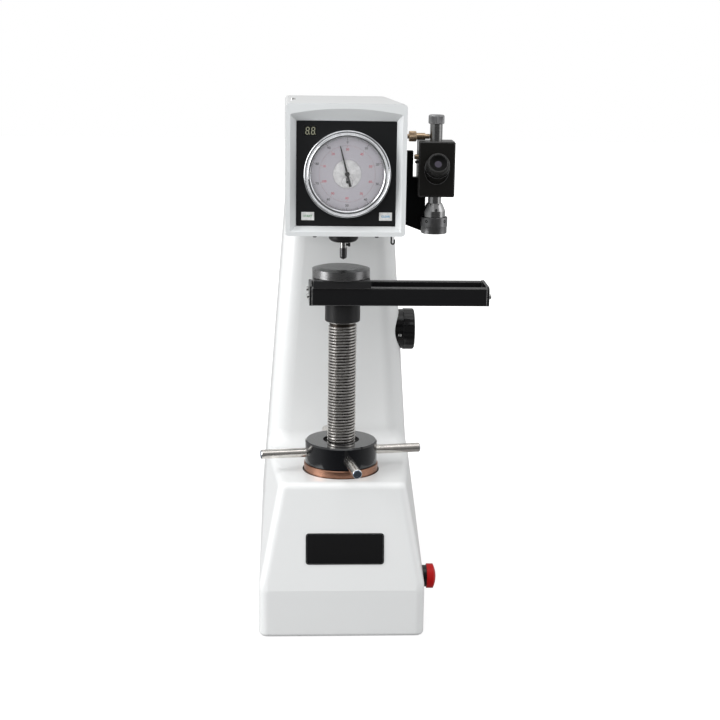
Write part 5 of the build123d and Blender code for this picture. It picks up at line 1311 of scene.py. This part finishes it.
def finishes() -> dict[str, bpy.types.Material]:
    """All finishes of the machine by their names."""
    dial = (0.0015, 0.0, 0.6115)
    scope = (0.119, 0.0, 0.6)
    every = [
        Paint("enamel", (0.775, 0.785, 0.785), (0.75, 0.765, 0.77), (0.6, 0.61, 0.62)),
        Paint("trim", (0.73, 0.75, 0.755), (0.69, 0.715, 0.73), (0.78, 0.79, 0.8), fineness=1.4, peel=0.00002),
        Plastic("plate_black", (0.004, 0.004, 0.0045), grey(0.04), rough=0.14, texture=0.000002, wear=0.2,
                settled=0.02, coat=0.4),
        Metal("plate_bead", (0.35, 0.35, 0.36), grey(0.18), Lay.ALONG_X, rough=0.3),
        Plastic("panel", (0.014, 0.0148, 0.016), grey(0.06), rough=0.36, texture=0.00001, wear=0.3, settled=0.02,
                fineness=3.0),
        Plastic("dial_white", (0.68, 0.66, 0.72), (0.7, 0.69, 0.74), rough=0.5, texture=0.000004, wear=0.1,
                settled=0.0),
        Plastic("disc_pale", (0.92, 0.92, 0.93), grey(0.93), rough=0.5, texture=0.000002, wear=0.0, settled=0.0,
                fineness=0.3),
        Metal("bezel", (0.66, 0.67, 0.69), (0.4, 0.42, 0.44), Lay.AROUND_Y, dial, rough=0.19, stained=0.2),
        Glass("glass", grey(1.0), rough=0.01, ior=1.46, through=1.0),
        Plastic("hand", (0.01, 0.01, 0.011), grey(0.08), rough=0.4, settled=0.0),
        Plastic("display", (0.012, 0.012, 0.013), grey(0.05), rough=0.3, settled=0.0),
        Plastic("window", (0.014, 0.015, 0.014), grey(0.05), rough=0.24, settled=0.0, texture=0.000003),
        Plastic("key", (0.84, 0.85, 0.84), grey(0.88), rough=0.5, settled=0.0, fineness=0.3),
        Ink("ink_black", (0.03, 0.03, 0.035)),
        Ink("ink_red", (0.64, 0.13, 0.17)),
        Ink("ink_green", (0.03, 0.26, 0.06)),
        Ink("ink_blue", (0.01, 0.32, 0.6)),
        Ink("ink_white", (0.75, 0.75, 0.74)),
        Glow("lit", (0.42, 0.42, 0.3), 0.25),
        Plastic("oxide", (0.02, 0.02, 0.021), grey(0.12), rough=0.33, fineness=1.6, wear=0.6),
        Metal("bright_steel_z", (0.62, 0.62, 0.61), grey(0.36), Lay.AROUND_Z),
        Metal("bright_steel_x", (0.7, 0.7, 0.69), grey(0.45), Lay.AROUND_X, (0.0, 0.158, 0.3675), rough=0.2),
        Metal("dark_steel", (0.16, 0.16, 0.165), (0.07, 0.07, 0.072), Lay.AROUND_Z, rough=0.32),
        # From a radius of 18.5 mm in to 17.7 mm the thread turns near-black: painted shade in its roots.
        Metal("thread", (0.88, 0.86, 0.83), (0.6, 0.57, 0.54), Lay.AROUND_Z, rough=0.27, stained=0.35,
              deep=(0.07, 0.058, 0.05), fade=(18.5, 17.7)),
        # Beyond a radius of about 109.6 mm the bars turn blue-grey: a painted reflection on their end faces.
        Metal("spoke", (0.82, 0.79, 0.75), (0.56, 0.53, 0.5), Lay.SPOKE, rough=0.22, fineness=1.2, stained=0.5,
              deep=(0.3, 0.36, 0.46), fade=(3.276, 3.288)),
        Metal("bronze", (0.44, 0.235, 0.16), (0.24, 0.12, 0.08), Lay.AROUND_Z, rough=0.3),
        Plastic("hub", (0.004, 0.0045, 0.006), (0.07, 0.07, 0.08), rough=0.13, texture=0.000003, coat=0.5,
                fineness=1.2, wear=0.4, settled=0.05, level=0.4),
        Plastic("anodised", (0.01, 0.01, 0.011), grey(0.5), rough=0.28, fineness=3.0, wear=0.9, texture=0.00001,
                settled=0.03, rub=0.0011),
        Metal("anvil", (0.34, 0.34, 0.345), grey(0.24), Lay.AROUND_Z, (-0.0026, 0.0, 0.48), rough=0.28),
        # Its light grey edges are worn black finish and also a painted highlight on the rims of the tubes.
        Plastic("scope_black", (0.013, 0.0125, 0.0115), (0.42, 0.43, 0.45), rough=0.2, fineness=2.6, wear=0.8,
                texture=0.000004),
        Plastic("bracket", (0.0025, 0.0025, 0.003), grey(0.06), rough=0.45, fineness=2.6, wear=0.4, settled=0.02,
                level=0.12),
        Metal("lamp_tube", grey(0.32), grey(0.17), Lay.AROUND_Z, scope, rough=0.22),
        Metal("barrel", grey(0.5), (0.3, 0.3, 0.31), Lay.AROUND_Z, scope, rough=0.18),
        Metal("cap_grey", (0.38, 0.38, 0.385), (0.24, 0.24, 0.245), Lay.AROUND_Z, scope, rough=0.36),
        Metal("knurl", (0.3, 0.3, 0.305), (0.16, 0.16, 0.165), Lay.AROUND_Z, scope, rough=0.34),
        # Near-black, darker than a real finish: painted shade for the groove round the bronze ring, the spanner and
        # tube holes, and the inside of the eyepiece.
        Plastic("hole", grey(0.003), grey(0.02), rough=0.6, settled=0.0, level=0.15),
        # Opaque near-black glass with a purple tint: painted shade of the dark tubes behind the lenses, with their
        # coating's tint.
        Glass("lens", (0.02, 0.012, 0.035), rough=0.03, ior=1.5, through=0.0),
        Metal("brass", (0.55, 0.42, 0.29), (0.32, 0.23, 0.15), Lay.AROUND_X, (0.0, 0.0, 0.6555), rough=0.24),
        Plastic("knob", (0.004, 0.004, 0.0045), grey(0.1), rough=0.2, texture=0.000006, coat=0.15),
        Plastic("stop_red", (0.5, 0.003, 0.004), (0.55, 0.03, 0.03), rough=0.34, texture=0.000006, level=0.2,
                settled=0.02),
        Plastic("iron", (0.05, 0.05, 0.052), grey(0.2), rough=0.5, texture=0.00005),
        Plastic("motor", (0.22, 0.23, 0.24), grey(0.4), rough=0.45),
    ]
    return {finish.name: finish.make() for finish in every}


def corners() -> list[list[float]]:
    """Lowest and highest corner of everything, as plain lists."""
    return [[float(v) for v in corner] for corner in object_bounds()]


def main() -> None:
    """Builds the room and every sub-assembly in order."""
    logging.basicConfig(level=logging.INFO, format="%(name)s: %(message)s")
    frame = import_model()
    nodes = frame["nodes"]
    Studio().build()
    kit = finishes()
    for assembly in (Casting, DialHead, Spindle, ElevatingDrive, RailStage, Microscope, SideControls, LoadTrain,
                     Fittings):
        assembly(nodes, kit).build()


if __name__ == "__main__":
    main()
